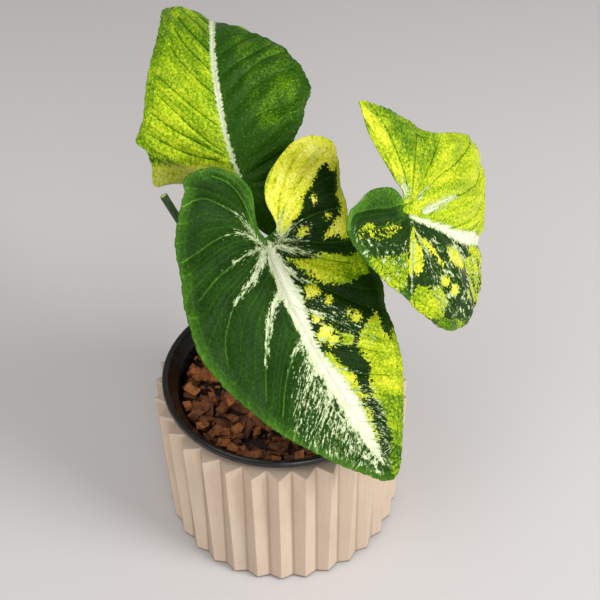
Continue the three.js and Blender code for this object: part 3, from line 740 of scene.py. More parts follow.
def leaf_blade(name, materials):
    """A leaf's blade, laid out flat, marked, and then bent into place. The midrib is in its right half."""
    leaf = LEAVES[name]
    bm, half_layer = flat_blade(leaf)
    bm.verts.ensure_lookup_table()
    u = np.array([vertex.co.x for vertex in bm.verts])
    v = np.array([vertex.co.y for vertex in bm.verts])
    half = np.array([round(vertex[half_layer]) for vertex in bm.verts])
    half[v == 0] = 1
    fields = blade_fields(name, u, v, half)
    normals = blade_normals(leaf, half, u, v)
    lift = BLADE_THICKNESS / 2 + blade_relief(u, v, fields)
    places = blade_points(leaf, half, u, v) + normals * lift[:, None]
    for vertex, place in zip(bm.verts, places):
        vertex.co = place
    blade = finish_piece(name + "_blade", bm, materials, name)
    put_attribute(blade.data, "place", u, v, fields["edge"])
    put_attribute(blade.data, "vein", fields["phase"], fields["gap"], fields["run"])
    put_attribute(blade.data, "marks", fields["yolk"], fields["tone"], fields["cream"])
    put_attribute(blade.data, "lean", fields["cast"], fields["lime"])
    thicken(blade, u, v, fields)
    return blade


def thicken(blade, u, v, fields):
    """Gives a blade its thickness below, with the midrib and the veins standing out there."""
    part = fields["phase"] % 1
    vein_distance = np.minimum(part, 1 - part) * fields["gap"]
    midrib = np.exp(-(v / 1.6)**2) * soft_step(-u, -130, -10) * soft_step(u, -9, -2)
    veins = 0.35 * np.exp(-(vein_distance / 0.8)**2) * soft_step(fields["edge"], 0, 20)
    least = BLADE_THICKNESS / MIDRIB_THICKNESS
    thickness = least + (1 - least) * np.clip(np.maximum(midrib, veins), 0, 1)
    group = blade.vertex_groups.new(name="thickness")
    for index, weight in enumerate(thickness):
        group.add([index], weight, "REPLACE")
    solid = blade.modifiers.new("thickness", "SOLIDIFY")
    solid.thickness = MIDRIB_THICKNESS * MM
    solid.offset = -1
    solid.vertex_group = group.name
    solid.material_offset = 1


# Stalks

TUBE_SIDES = 24
STALK_RINGS = 90


def stations(path, radius_at):
    """Matrices that place a unit ring along a smooth path, with a radius for each share of it."""
    count = STALK_RINGS
    path = [Vector(stop) for stop in path]
    knots = [0.0]
    for start, end in zip(path[:-1], path[1:]):
        knots.append(knots[-1] + math.sqrt((end - start).length))
    course = [centripetal(path, knots, i / (count - 1)) for i in range(count)]
    placed = []
    turn = Vector((1, 0, 0))
    for i, point in enumerate(course):
        ahead = course[min(i + 1, count - 1)] - course[max(i - 1, 0)]
        ahead.normalize()
        turn = (turn - ahead * turn.dot(ahead)).normalized()
        radius = radius_at(i / (count - 1))
        matrix = Matrix((turn * radius, ahead.cross(turn) * radius, ahead)).transposed().to_4x4()
        matrix.translation = point
        placed.append(matrix)
    return placed


def centripetal(path, knots, share):
    """A point on the centripetal Catmull-Rom curve through a path, with equal shares to each stretch."""
    at = share * (len(path) - 1)
    index = min(int(at), len(path) - 2)
    start, end = path[index], path[index + 1]
    before = path[index - 1] if index > 0 else start * 2 - end
    after = path[index + 2] if index + 2 < len(path) else end * 2 - start
    t_0 = math.sqrt((start - before).length)
    t_1 = math.sqrt((end - start).length)
    t_2 = math.sqrt((after - end).length)
    slope_in = ((start - before) / t_0 - (end - before) / (t_0 + t_1) + (end - start) / t_1) * t_1
    slope_out = ((end - start) / t_1 - (after - start) / (t_1 + t_2) + (after - end) / t_2) * t_1
    part = at - index
    rest = 1 - part
    settled = start * rest**2 * (1 + 2 * part) + end * part**2 * (1 + 2 * rest)
    return settled + slope_in * part * rest**2 - slope_out * part**2 * rest


def draw_up(bm, moves):
    """Extrudes the ring that a bmesh holds once for each move of its points, and closes both ends."""
    edges = list(bm.edges)
    bmesh.ops.contextual_create(bm, geom=edges)
    for move in moves:
        made = bmesh.ops.extrude_edge_only(bm, edges=edges)["geom"]
        edges = [item for item in made if isinstance(item, bmesh.types.BMEdge)]
        for item in made:
            if isinstance(item, bmesh.types.BMVert):
                item.co = move(item.co)
    bmesh.ops.contextual_create(bm, geom=edges)
    bmesh.ops.recalc_face_normals(bm, faces=bm.faces)


def sweep(bm, rings):
    """Draws a round section up through its placed rings."""
    circle = bmesh.ops.create_circle(bm, radius=1, segments=TUBE_SIDES)["verts"]
    bmesh.ops.transform(bm, matrix=rings[0], verts=circle)
    steps = [after @ before.inverted() for before, after in zip(rings[:-1], rings[1:])]
    draw_up(bm, [lambda place, step=step: step @ place for step in steps])


def stalk_path(foot, bends):
    rooted = [(*foot, height) for height in (ROOTED_DEPTH, *STRAIGHT_TO)]
    return rooted + [tuple(bend) for bend in bends]


def leaf_stalk(name, material):
    """A leaf's stalk: sheathed at its foot, slimmer above and swollen where it meets the blade."""
    leaf = LEAVES[name]
    _, _, up = leaf_axes(leaf)
    joint = np.array(leaf["joint"])
    path = stalk_path(leaf["foot"], (leaf["reach"], joint - up * JOINT_BEND, joint - up * 0.3))

    def radius_at(share):
        sheath = 0.2 * math.exp(-((share - 0.5) / 0.12)**2)
        return STALK_RADIUS - 0.25 * math.sin(math.pi * share) + sheath

    bm = bmesh.new()
    sweep(bm, stations(path, radius_at))
    return finish_piece(name + "_stalk", bm, [material], name)


def cut_stalk(material, cut_material):
    """The stalk whose blade was cut off, with its pale cut end."""
    bm = bmesh.new()
    path = stalk_path(CUT_STALK["foot"], CUT_STALK["path"])
    sweep(bm, stations(path, lambda share: STALK_RADIUS))
    bm.faces.ensure_lookup_table()
    end = max(bm.faces, key=lambda face: face.calc_center_median().z)
    end.material_index = 1
    inner = bmesh.ops.inset_individual(bm, faces=[end], thickness=0.25)["faces"]
    bmesh.ops.translate(bm, vec=(0, 0, -0.15), verts=end.verts)
    for face in inner:
        face.material_index = 0
    return finish_piece("cut_stalk", bm, [material, cut_material], "cut_petiole")


def stem_piece(material):
    """The plant's short stem, ringed where old leaves stood, with the next leaf's pointed sheath."""
    outline = (
        (0, ROOTED_DEPTH), (STEM_RADIUS, ROOTED_DEPTH), (STEM_RADIUS, BARK_LEVEL - 2),
        (STEM_RADIUS - 0.3, BARK_LEVEL - 1), (STEM_RADIUS, BARK_LEVEL),
        (STEM_RADIUS, BARK_LEVEL + 4), (STEM_RADIUS - 0.6, BARK_LEVEL + 5),
        (STEM_RADIUS - 0.9, BARK_LEVEL + 6), (STEM_RADIUS - 1, BARK_LEVEL + 11),
        (STEM_RADIUS - 1.6, BARK_LEVEL + 13), (STEM_RADIUS - 2, BARK_LEVEL + 16),
        (STEM_RADIUS - 2.3, STEM_TOP - 9), (STEM_RADIUS - 3.2, STEM_TOP - 3), (0, STEM_TOP),
    )
    bm = turned(outline, 32)
    return finish_piece("stem_sheath", bm, [material], "stem")


def turned(outline, steps):
    """Spins an outline of radius and height once round the upright axis, with both ends on it."""
    bm = bmesh.new()
    stops = [bm.verts.new((radius, 0, height)) for radius, height in outline]
    edges = [bm.edges.new(pair) for pair in zip(stops[:-1], stops[1:])]
    bmesh.ops.spin(bm, geom=stops + edges, cent=(0, 0, 0), axis=(0, 0, 1), dvec=(0, 0, 0),
                   angle=2 * math.pi, steps=steps, use_merge=True)
    bmesh.ops.remove_doubles(bm, verts=bm.verts, dist=0.001)
    bmesh.ops.recalc_face_normals(bm, faces=bm.faces)
    return bm


# Planter and nursery pot


def pleat_ring(tip_radius, valley_radius, height):
    """Points of the pleated outline at a height, with a tip at the front."""
    ring = []
    for i in range(2 * PLEATS):
        angle = math.pi * i / PLEATS - math.pi / 2
        radius = valley_radius if i % 2 else tip_radius
        ring.append(Vector((radius * math.cos(angle), radius * math.sin(angle), height)))
    return ring


def pleat_move(below, above):
    """Takes each point of one pleated outline to the same point of the next."""
    return lambda place: above[min(range(len(below)), key=lambda i: (below[i] - place).length)]


def planter_piece(material):
    """The pleated planter: a folded ring drawn up from its foot, over its top and down its bore."""
    rings = (
        pleat_ring(FOOT_TIP_RADIUS - FOOT_CHAMFER, FOOT_VALLEY_RADIUS - FOOT_CHAMFER, 0),
        pleat_ring(FOOT_TIP_RADIUS, FOOT_VALLEY_RADIUS, FOOT_CHAMFER),
        pleat_ring(TOP_TIP_RADIUS, TOP_VALLEY_RADIUS, PLANTER_HEIGHT),
        pleat_ring(PLANTER_BORE_RADIUS, PLANTER_BORE_RADIUS, PLANTER_HEIGHT),
        pleat_ring(PLANTER_BORE_RADIUS, PLANTER_BORE_RADIUS, PLANTER_FLOOR),
    )
    bm = bmesh.new()
    circle = bmesh.ops.create_circle(bm, radius=1, segments=2 * PLEATS)["verts"]
    circle = sorted(circle, key=lambda vertex: math.atan2(vertex.co.x, -vertex.co.y) % (2 * math.pi))
    for vertex, place in zip(circle, rings[0]):
        vertex.co = place
    draw_up(bm, [pleat_move(below, above) for below, above in zip(rings[:-1], rings[1:])])
    piece = finish_piece("planter_pleats", bm, [material], "planter")
    soften_edges(piece, 0.55, 3, 20)
    return piece


def soften_edges(piece, width, segments, angle):
    """Rounds a piece's edges where its faces meet at more than an angle, and smooths its faces."""
    bevel = piece.modifiers.new("soft edges", "BEVEL")
    bevel.width = width * MM
    bevel.segments = segments
    bevel.limit_method = "ANGLE"
    bevel.angle_limit = math.radians(angle)
    bevel.harden_normals = True
    piece.data.shade_smooth()


def pot_bore(height):
    """Inner radius of the nursery pot's body at a height."""
    rise = (height - POT_FLOOR) / (POT_SHOULDER_HEIGHT - POT_FLOOR)
    return POT_FLOOR_RADIUS + (POT_BODY_RADIUS - POT_FLOOR_RADIUS) * rise - POT_WALL


def pot_piece(material):
    """The nursery pot: a tapered cup with a rounded rim and holes in its floor."""
    rim_under = RIM_TOP - RIM_DROP
    rim_back = RIM_INNER_RADIUS + POT_WALL
    shoulder = POT_SHOULDER_HEIGHT + 2.4
    outline = (
        (0, POT_FLOOR), (POT_FLOOR_RADIUS, POT_FLOOR), (POT_BODY_RADIUS, POT_SHOULDER_HEIGHT),
        (rim_back, shoulder), (rim_back, rim_under), (RIM_OUTER_RADIUS, rim_under),
        (RIM_OUTER_RADIUS, RIM_TOP - 1.2), (RIM_OUTER_RADIUS - 0.4, RIM_TOP - 0.4),
        (RIM_OUTER_RADIUS - 1.2, RIM_TOP), (RIM_OUTER_RADIUS - 1.7, RIM_TOP - 0.1),
        (RIM_INNER_RADIUS + 1.3, RIM_TOP - 0.8), (RIM_INNER_RADIUS + 0.5, RIM_TOP - 1.4),
        (RIM_INNER_RADIUS, RIM_TOP - 2.6), (pot_bore(POT_SHOULDER_HEIGHT), POT_SHOULDER_HEIGHT),
        (pot_bore(POT_FLOOR + 2), POT_FLOOR + 2), (0, POT_FLOOR + 2),
    )
    piece = finish_piece("pot_shell", turned(outline, 120), [material], "nursery_pot")
    drill_drain_holes(piece)
    soften_edges(piece, 0.3, 2, 25)
    return piece


def drill_drain_holes(piece):
    """Cuts the ring of holes through the pot's floor."""
    bm = bmesh.new()
    for i in range(DRAIN_HOLES):
        angle = (i + 0.5) * 2 * math.pi / DRAIN_HOLES
        place = Vector((math.cos(angle), math.sin(angle), 0)) * DRAIN_CIRCLE
        place.z = POT_FLOOR + 1
        bmesh.ops.create_cone(bm, cap_ends=True, segments=24, radius1=DRAIN_RADIUS,
                              radius2=DRAIN_RADIUS, depth=6, matrix=Matrix.Translation(place))
    bmesh.ops.scale(bm, vec=(MM, MM, MM), verts=bm.verts)
    mesh = bpy.data.meshes.new("drain holes")
    bm.to_mesh(mesh)
    bm.free()
    cutter = bpy.data.objects.new("drain holes", mesh)
    bpy.context.scene.collection.objects.link(cutter)
    cut = piece.modifiers.new("drain holes", "BOOLEAN")
    cut.operation = "DIFFERENCE"
    cut.solver = "EXACT"
    cut.object = cutter
    drilled = piece.evaluated_get(bpy.context.evaluated_depsgraph_get())
    piece.data = bpy.data.meshes.new_from_object(drilled)
    piece.modifiers.remove(cut)
    bpy.data.objects.remove(cutter)


# Bark


def seeded(seed):
    """A small generator of numbers between 0 and 1 that gives the same bark each time."""
    state = seed

    def draw():
        nonlocal state
        state = (state * 1664525 + 1013904223) % 4294967296
        return state / 4294967296

    return draw


def between(draw, limits):
    low, high = limits
    return low + (high - low) * draw()


def chip_blank(cuts):
    """A block one unit long with its edges eased, which every chip of a layer is shaped from."""
    bm = bmesh.new()
    bmesh.ops.create_cube(bm, size=1)
    bmesh.ops.subdivide_edges(bm, edges=bm.edges, cuts=cuts, use_grid_fill=True)
    for vertex in bm.verts:
        vertex.co = vertex.co.lerp(vertex.co.normalized() * 0.62, 0.18)
    blank = bpy.data.meshes.new("chip")
    bm.to_mesh(blank)
    bm.free()
    return blank


def pulled(corner_pulls, place):
    """The pull on a point of a unit block, blended from the pulls on its eight corners."""
    share = [min(max(c + 0.5, 0), 1) for c in place]
    pull = Vector((0, 0, 0))
    for index, corner in enumerate(corner_pulls):
        weight = 1.0
        for axis, bit in enumerate((4, 2, 1)):
            weight *= share[axis] if index & bit else 1 - share[axis]
        pull += Vector(corner) * weight
    return pull


def bark_layer(bm, layers, draw, count, cuts, limit, look):
    """A layer of chips, each as look gives it, but turned along the wall where it would touch it."""
    blank = chip_blank(cuts)
    for i in range(count):
        spin, share, turn, rise, size, corners = look(i, count, draw)
        radius = limit * share
        if radius > pot_bore(BARK_LEVEL) - size[0] / 2:
            turn = (turn[0], turn[1], spin + math.pi / 2)
        place = Matrix.Translation((radius * math.cos(spin), radius * math.sin(spin), rise))
        place = place @ Euler(turn).to_matrix().to_4x4()
        first = len(bm.verts)
        bm.from_mesh(blank)
        bm.verts.ensure_lookup_table()
        shade = (i * 0.618) % 1
        seed = Vector((shade * 91.7, shade * 47.3, shade * 13.9))
        rough = min(size) * 0.13
        for index in range(first, len(bm.verts)):
            vertex = bm.verts[index]
            pull = pulled(corners, vertex.co)
            vertex.co = Vector(a * b * c for a, b, c in zip(vertex.co, size, pull))
            fibre = Vector((vertex.co.x * 0.1, vertex.co.y * 0.5, vertex.co.z * 0.9)) + seed
            lump = vertex.co * 0.2 + seed
            vertex.co += noise.noise_vector(fibre) * rough + noise.noise_vector(lump) * rough * 1.5
            vertex[layers["grain"]] = vertex.co + seed * 10
            vertex[layers["shade"]] = shade
            vertex.co = place @ vertex.co
    bpy.data.meshes.remove(blank)


def large_chip(i, count, draw):
    """A chip of the layer that the frame has too."""
    spin = i * GOLDEN_ANGLE + 0.6 * draw()
    share = math.sqrt((i + 0.5) / count)
    turn = (0.5 * (draw() - 0.5), 0.6 * (draw() - 0.5), 2 * math.pi * draw())
    rise = BARK_LEVEL + 0.6 + 1.6 * draw()
    size = [between(draw, limits) for limits in (CHIP_LENGTH, CHIP_WIDTH, CHIP_HEIGHT)]
    corners = [[between(draw, CHIP_PULL) for _ in range(3)] for _ in range(8)]
    return spin, share, turn, rise, size, corners


def loose_chip(i, count, draw):
    """A chip that lies tilted on the layer below."""
    spin = i * GOLDEN_ANGLE + 2 * draw()
    share = math.sqrt((i + 0.5) / count)
    turn = (1.1 * (draw() - 0.5), 1.1 * (draw() - 0.5), 2 * math.pi * draw())
    rise = BARK_LEVEL + 2.8 + 3 * draw()
    length = 7 + 5 * draw()
    size = (length, length * (0.42 + 0.3 * draw()), length * (0.24 + 0.18 * draw()))
    corners = [[between(draw, LOOSE_PULL) for _ in range(3)] for _ in range(8)]
    return spin, share, turn, rise, size, corners


def wall_chip(i, count, draw):
    """A chip that leans on the pot's wall."""
    spin = 2 * math.pi * (i + 0.7 * draw()) / count
    share = 0.93 + 0.07 * draw()
    turn = (0.9 * (draw() - 0.5), 0.7 * (draw() - 0.5), 0)
    rise = BARK_LEVEL + 1 + 4 * draw()
    length = 6 + 4 * draw()
    size = (length, 3.6 + 1.6 * draw(), 2.6 + 1.4 * draw())
    corners = [[between(draw, LOOSE_PULL) for _ in range(3)] for _ in range(8)]
    return spin, share, turn, rise, size, corners


def bark_crumb(i, count, draw):
    """A small splinter among the chips."""
    spin = i * GOLDEN_ANGLE + 1.1 * draw()
    share = math.sqrt((i + 0.5) / count)
    turn = (1.8 * (draw() - 0.5), 1.8 * (draw() - 0.5), 2 * math.pi * draw())
    rise = BARK_LEVEL + 0.4 + 5 * draw()
    length = 2.5 + 4.5 * draw() * draw()
    size = (length, length * (0.35 + 0.4 * draw()), length * (0.25 + 0.3 * draw()))
    corners = [[between(draw, LOOSE_PULL) for _ in range(3)] for _ in range(8)]
    return spin, share, turn, rise, size, corners


def bark_piece(material):
    """Large chips where the frame has them, with loose chips, wall chips and crumbs over them."""
    bm = bmesh.new()
    layers = {
        "grain": bm.verts.layers.float_vector.new("grain"),
        "shade": bm.verts.layers.float.new("shade"),
    }
    draw = seeded(CHIP_SEED)

    # The vector noise takes its seed from the clock if it isn't given one
    noise.seed_set(CHIP_SEED)
    limit = pot_bore(BARK_LEVEL) - 5
    bark_layer(bm, layers, draw, LARGE_CHIPS, 4, limit, large_chip)
    bark_layer(bm, layers, draw, LOOSE_CHIPS, 3, limit + 1.5, loose_chip)
    bark_layer(bm, layers, draw, WALL_CHIPS, 3, limit + 2.4, wall_chip)
    bark_layer(bm, layers, draw, CRUMBS, 1, limit + 3.5, bark_crumb)
    piece = finish_piece("bark_chips", bm, [material], "potting_bark")
    piece.data.set_sharp_from_angle(angle=math.radians(CHIP_EDGE_ANGLE))
    return piece


def bed_piece(material):
    """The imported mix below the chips, down to the pot's floor."""
    bottom = POT_FLOOR + 2.3
    outline = (
        (0, bottom), (pot_bore(bottom) - 0.4, bottom), (pot_bore(BARK_LEVEL) - 0.4, BARK_LEVEL),
        (45, BARK_LEVEL), (30, BARK_LEVEL), (15, BARK_LEVEL), (0, BARK_LEVEL),
    )
    return finish_piece("bark_bed", turned(outline, 96), [material], "potting_bark")


# Materials


def linear(colour):
    """The scene-linear colour of an sRGB hex value."""
    channels = [int(colour[i:i + 2], 16) / 255 for i in (1, 3, 5)]
    return (*[c / 12.92 if c <= 0.04045 else ((c + 0.055) / 1.055)**2.4 for c in channels], 1)


def add(tree, kind, settings, inputs):
    """Adds a node, sets it up, and fills or links its inputs, given by their names or places."""
    node = tree.nodes.new("ShaderNode" + kind)
    for key, value in settings.items():
        setattr(node, key, value)
    for key, value in inputs.items():
        if isinstance(value, bpy.types.Node):
            tree.links.new(value.outputs[0], node.inputs[key])
        elif isinstance(value, bpy.types.NodeSocket):
            tree.links.new(value, node.inputs[key])
        else:
            node.inputs[key].default_value = value
    return node


def finish(name, surface):
    """A material whose shader takes the inputs that its surface works out."""
    material = bpy.data.materials.new(name)
    material.use_nodes = True
    tree = material.node_tree
    tree.nodes.clear()
    shader = add(tree, "BsdfPrincipled", {}, surface(tree))
    add(tree, "OutputMaterial", {}, {"Surface": shader})
    return material


# A colour mix takes its share at 0 and its two colours at 6 and 7, and gives its result at 2. A map
# range takes its value at 0, the range of it at 1 and 2, and what that becomes at 3 and 4.
MIX = {"data_type": "RGBA"}
MIXED = 2
BLADE_ATTRIBUTES = {
    "place": ("u", "v", "edge"),
    "vein": ("phase", "gap", "run"),
    "marks": ("yolk", "tone", "cream"),
    "lean": ("cast", "lime"),
}


def graded(tree, factor, stops):
    """Runs through colours, each at its own value of the factor."""
    colour = linear(stops[0][1])
    for (low, _), (high, hex_value) in zip(stops[:-1], stops[1:]):
        share = add(tree, "MapRange", {}, {0: factor, 1: low, 2: high, 3: 0.0, 4: 1.0})
        colour = add(tree, "Mix", MIX, {0: share, 6: colour, 7: linear(hex_value)}).outputs[MIXED]
    return colour


def layered(tree, colour, *layers):
    """Lays colours over a first one, each as far as its mask lets it through."""
    for mask, over in layers:
        over = linear(over) if isinstance(over, str) else over
        colour = add(tree, "Mix", MIX, {0: mask, 6: colour, 7: over}).outputs[MIXED]
    return colour


def swayed(tree, start, *terms):
    """A value moved up and down by noises, each with the reach it has from end to end."""
    total = add(tree, "Math", {"operation": "ADD"}, {0: start, 1: -sum(term[1] for term in terms) / 2})
    for source, reach in terms:
        total = add(tree, "Math", {"operation": "MULTIPLY_ADD"}, {0: source, 1: reach, 2: total})
    return total


def added(tree, start, *terms):
    """A value with weighted others added to it."""
    total = start
    for source, weight in terms:
        total = add(tree, "Math", {"operation": "MULTIPLY_ADD"}, {0: source, 1: weight, 2: total})
    return total


def blade_pattern(tree):
    """What a blade's attributes hold, with the veins and the mottling that both faces share."""
    found = {}
    for name, parts in BLADE_ATTRIBUTES.items():
        vector = add(tree, "Attribute", {"attribute_name": name}, {}).outputs["Vector"]
        split = add(tree, "SeparateXYZ", {}, {0: vector})
        found.update(zip(parts, split.outputs))

    # Places in millimetres: flat for the mottling, drawn out along the side veins for the patches
    # and still more for the threads that feather the cream
    flat = add(tree, "CombineXYZ", {}, {0: found["u"], 1: found["v"], 2: 0.0})
    across = add(tree, "Math", {"operation": "MULTIPLY"}, {0: found["phase"], 1: 8.0})
    for name, stretch in (("strand", 0.45), ("thread", 0.2)):
        along = add(tree, "Math", {"operation": "MULTIPLY"}, {0: found["run"], 1: stretch})
        found[name] = add(tree, "CombineXYZ", {}, {0: across, 1: along, 2: 0.0})
    for name, place, size in (("patch", found["strand"], 5), ("mottle", flat, 1.5),
                              ("dust", flat, 0.55)):
        blotch = add(tree, "TexNoise", {"noise_dimensions": "2D"},
                     {"Vector": place, "Scale": 1 / size, "Detail": 3.0})
        split = add(tree, "SeparateColor", {}, {0: blotch.outputs["Color"]})
        found.update(zip((name, name + "_b", name + "_c"), split.outputs))

    # Side veins, the finer veins that share each gap in three, the net and the vein by the margin
    warp = added(tree, found["phase"], (found["mottle_b"], 0.05))
    for name, lines, width in (("vein", 1, 0.45), ("rib", 3, 0.4)):
        phase = add(tree, "Math", {"operation": "MULTIPLY"}, {0: warp, 1: float(lines)})
        part = add(tree, "Math", {"operation": "FRACT"}, {0: phase})
        other = add(tree, "Math", {"operation": "SUBTRACT"}, {0: 1.0, 1: part})
        near = add(tree, "Math", {"operation": "MINIMUM"}, {0: part, 1: other})
        gap = add(tree, "Math", {"operation": "MULTIPLY"}, {0: found["gap"], 1: 1 / lines})
        distance = add(tree, "Math", {"operation": "MULTIPLY"}, {0: near, 1: gap})
        found[name + "_distance"] = distance
        found[name + "_line"] = add(tree, "MapRange", {}, {0: distance, 1: 0.1, 2: width + 0.1,
                                                           3: 1.0, 4: 0.0})
    net = add(tree, "TexVoronoi", {"voronoi_dimensions": "2D", "feature": "DISTANCE_TO_EDGE"},
              {"Vector": flat, "Scale": 1 / 2.4})
    found["net_line"] = add(tree, "MapRange", {}, {0: net, 1: 0.02, 2: 0.16, 3: 1.0, 4: 0.0})
    hem = add(tree, "Math", {"operation": "SUBTRACT"}, {0: found["edge"], 1: MARGIN_VEIN})
    hem = add(tree, "Math", {"operation": "ABSOLUTE"}, {0: hem})
    found["hem_line"] = add(tree, "MapRange", {}, {0: hem, 1: 0.1, 2: 0.6, 3: 1.0, 4: 0.0})
    return found


def leaf_upper(tree):
    """Fresh leaf, upper face: waxy, deep green, splashed with yellow and feathered with cream."""
    at = blade_pattern(tree)

    # Green, lighter on the veins and in the hem along the margin
    hem = add(tree, "MapRange", {}, {0: at["edge"], 1: 0.8, 2: 6.5, 3: 0.36, 4: 0.0})
    green = added(tree, hem, (at["cast"], 1.0))
    green = swayed(tree, green, (at["patch_c"], 0.4), (at["mottle_c"], 0.4), (at["dust_c"], 0.3))
    green = added(tree, green, (at["vein_line"], 0.24), (at["rib_line"], 0.15),
                  (at["net_line"], 0.06), (at["hem_line"], 0.08))
    green = graded(tree, green, ((-0.3, "#0a1c03"), (-0.05, "#173604"), (0.15, "#244709"),
                                 (0.4, "#3c6614"), (0.8, "#6b962c")))

    # Yellow splashes with torn edges, greener on the veins and flecked with green
    yolk = swayed(tree, at["yolk"], (at["patch"], 8.0), (at["mottle"], 7.0), (at["dust"], 3.0))
    yolk = add(tree, "MapRange", {}, {0: yolk, 1: -0.2, 2: 0.35, 3: 0.0, 4: 1.0})
    tone = swayed(tree, at["tone"], (at["patch_b"], 0.7), (at["mottle_b"], 0.7), (at["dust_b"], 0.7))
    tone = added(tree, tone, (at["vein_line"], -0.24), (at["rib_line"], -0.06),
                 (at["net_line"], -0.1), (at["hem_line"], -0.12), (hem, -0.22))
    yellow = graded(tree, tone, ((0.0, "#244705"), (0.25, "#4b7008"), (0.45, "#7d970f"),
                                 (0.62, "#aab91a"), (0.8, "#d3d02a"), (1.0, "#e6dc50"),
                                 (1.3, "#eef48a")))
    speck = add(tree, "MapRange", {}, {0: at["mottle_c"], 1: 0.6, 2: 0.68, 3: 0.0, 4: 0.45})
    yellow = layered(tree, yellow, (speck, "#5a7412"))
    yellow = add(tree, "Mix", {**MIX, "blend_type": "MULTIPLY"},
                 {0: at["lime"], 6: yellow, 7: linear("#c8ffe8")}).outputs[MIXED]

    # Cream along the midrib and veins, feathered into threads and flecks
    thread = add(tree, "TexNoise", {"noise_dimensions": "2D"},
                 {"Vector": at["thread"], "Scale": 1 / 0.7, "Detail": 3.0, "Roughness": 0.6})
    cream = swayed(tree, at["cream"], (thread, 8.0), (at["mottle_b"], 3.0), (at["dust_b"], 3.0))
    cream_mask = add(tree, "MapRange", {}, {0: cream, 1: -0.3, 2: 0.7, 3: 0.0, 4: 0.96})
    pale = graded(tree, cream, ((-0.3, "#7f9a55"), (0.7, "#bac798"), (2.0, "#cfd6b2"),
                                (4.5, "#e2e3cb")))
    middle = add(tree, "MapRange", {}, {0: at["vein_distance"], 1: 0.12, 2: 0.4, 3: 0.45, 4: 0.0})
    width = add(tree, "Math", {"operation": "ABSOLUTE"}, {0: at["v"]})
    groove = add(tree, "Math", {"operation": "SUBTRACT"}, {0: width, 1: 0.75})
    groove = add(tree, "Math", {"operation": "ABSOLUTE"}, {0: groove})
    groove = add(tree, "MapRange", {}, {0: groove, 1: 0.1, 2: 0.35, 3: 0.4, 4: 0.0})
    pale = layered(tree, pale, (middle, "#7f9157"), (groove, "#8d9c62"))
    colour = layered(tree, green, (yolk, yellow), (cream_mask, pale))

    # Pores and the fine veins, raised a few tenths of a millimetre
    height = added(tree, at["dust"], (at["rib_line"], -0.5), (at["net_line"], -0.7),
                   (at["mottle"], 0.8))
    bump = add(tree, "Bump", {}, {"Strength": 0.5, "Distance": 0.0002, "Height": height})
    rough = add(tree, "MapRange", {}, {0: at["dust"], 1: 0.3, 2: 0.7, 3: 0.36, 4: 0.5})
    return {"Base Color": colour, "Roughness": rough, "Normal": bump, "IOR": 1.4,
            "Specular IOR Level": 0.12}


def leaf_under(tree):
    """Leaf, under face: duller and paler, with the veins' ribs paler still."""
    at = blade_pattern(tree)
    green = swayed(tree, at["patch_c"], (at["mottle_c"], 0.6))
    green = graded(tree, green, ((0.2, "#33591f"), (0.8, "#5f8a3c")))
    yolk = swayed(tree, at["yolk"], (at["patch"], 7.0), (at["mottle"], 6.0))
    yolk = add(tree, "MapRange", {}, {0: yolk, 1: -1.0, 2: 1.2, 3: 0.0, 4: 0.85})
    tone = swayed(tree, at["tone"], (at["mottle_b"], 0.6))
    yellow = graded(tree, tone, ((0.1, "#7c9b30"), (0.5, "#b4cc3a"), (1.0, "#dfe070")))
    milk = swayed(tree, at["cream"], (at["mottle"], 6.0))
    milk = add(tree, "MapRange", {}, {0: milk, 1: -0.5, 2: 1.5, 3: 0.0, 4: 0.7})
    rib = added(tree, 0.0, (at["vein_line"], 0.5), (at["rib_line"], 0.15), (at["net_line"], 0.15))
    colour = layered(tree, green, (yolk, yellow), (milk, "#c9cf9c"), (rib, "#93b166"))
    height = added(tree, at["dust"], (at["rib_line"], 0.6), (at["net_line"], 0.5))
    bump = add(tree, "Bump", {}, {"Strength": 0.6, "Distance": 0.0003, "Height": height})
    return {"Base Color": colour, "Roughness": 0.6, "Normal": bump, "IOR": 1.4,
            "Specular IOR Level": 0.15}


def stalk_skin(shaded, lit):
    """Fresh stalk: smooth green skin with fine paler lines along it."""
    def surface(tree):
        place = add(tree, "TexCoord", {}, {}).outputs["Object"]
        drawn_out = add(tree, "Mapping", {}, {"Vector": place, "Scale": (1 / MM, 1 / MM, 0.06 / MM)})
        lines = add(tree, "TexNoise", {}, {"Vector": drawn_out, "Scale": 1.6, "Detail": 3.0})
        colour = layered(tree, linear(shaded), (lines, lit))
        bump = add(tree, "Bump", {}, {"Strength": 0.4, "Distance": 0.0001, "Height": lines})
        return {"Base Color": colour, "Roughness": 0.42, "Normal": bump, "IOR": 1.45}

    return surface


def cut_flesh(tree):
    """Freshly cut stalk: pale, wet, with the darker dots of its strands."""
    place = add(tree, "TexCoord", {}, {}).outputs["Object"]
    dots = add(tree, "TexVoronoi", {}, {"Vector": place, "Scale": 1 / (0.7 * MM)})
    mask = add(tree, "MapRange", {}, {0: dots, 1: 0.2, 2: 0.45, 3: 1.0, 4: 0.0})
    return {"Base Color": layered(tree, linear("#c9cf6a"), (mask, "#8fa03a")), "Roughness": 0.5}


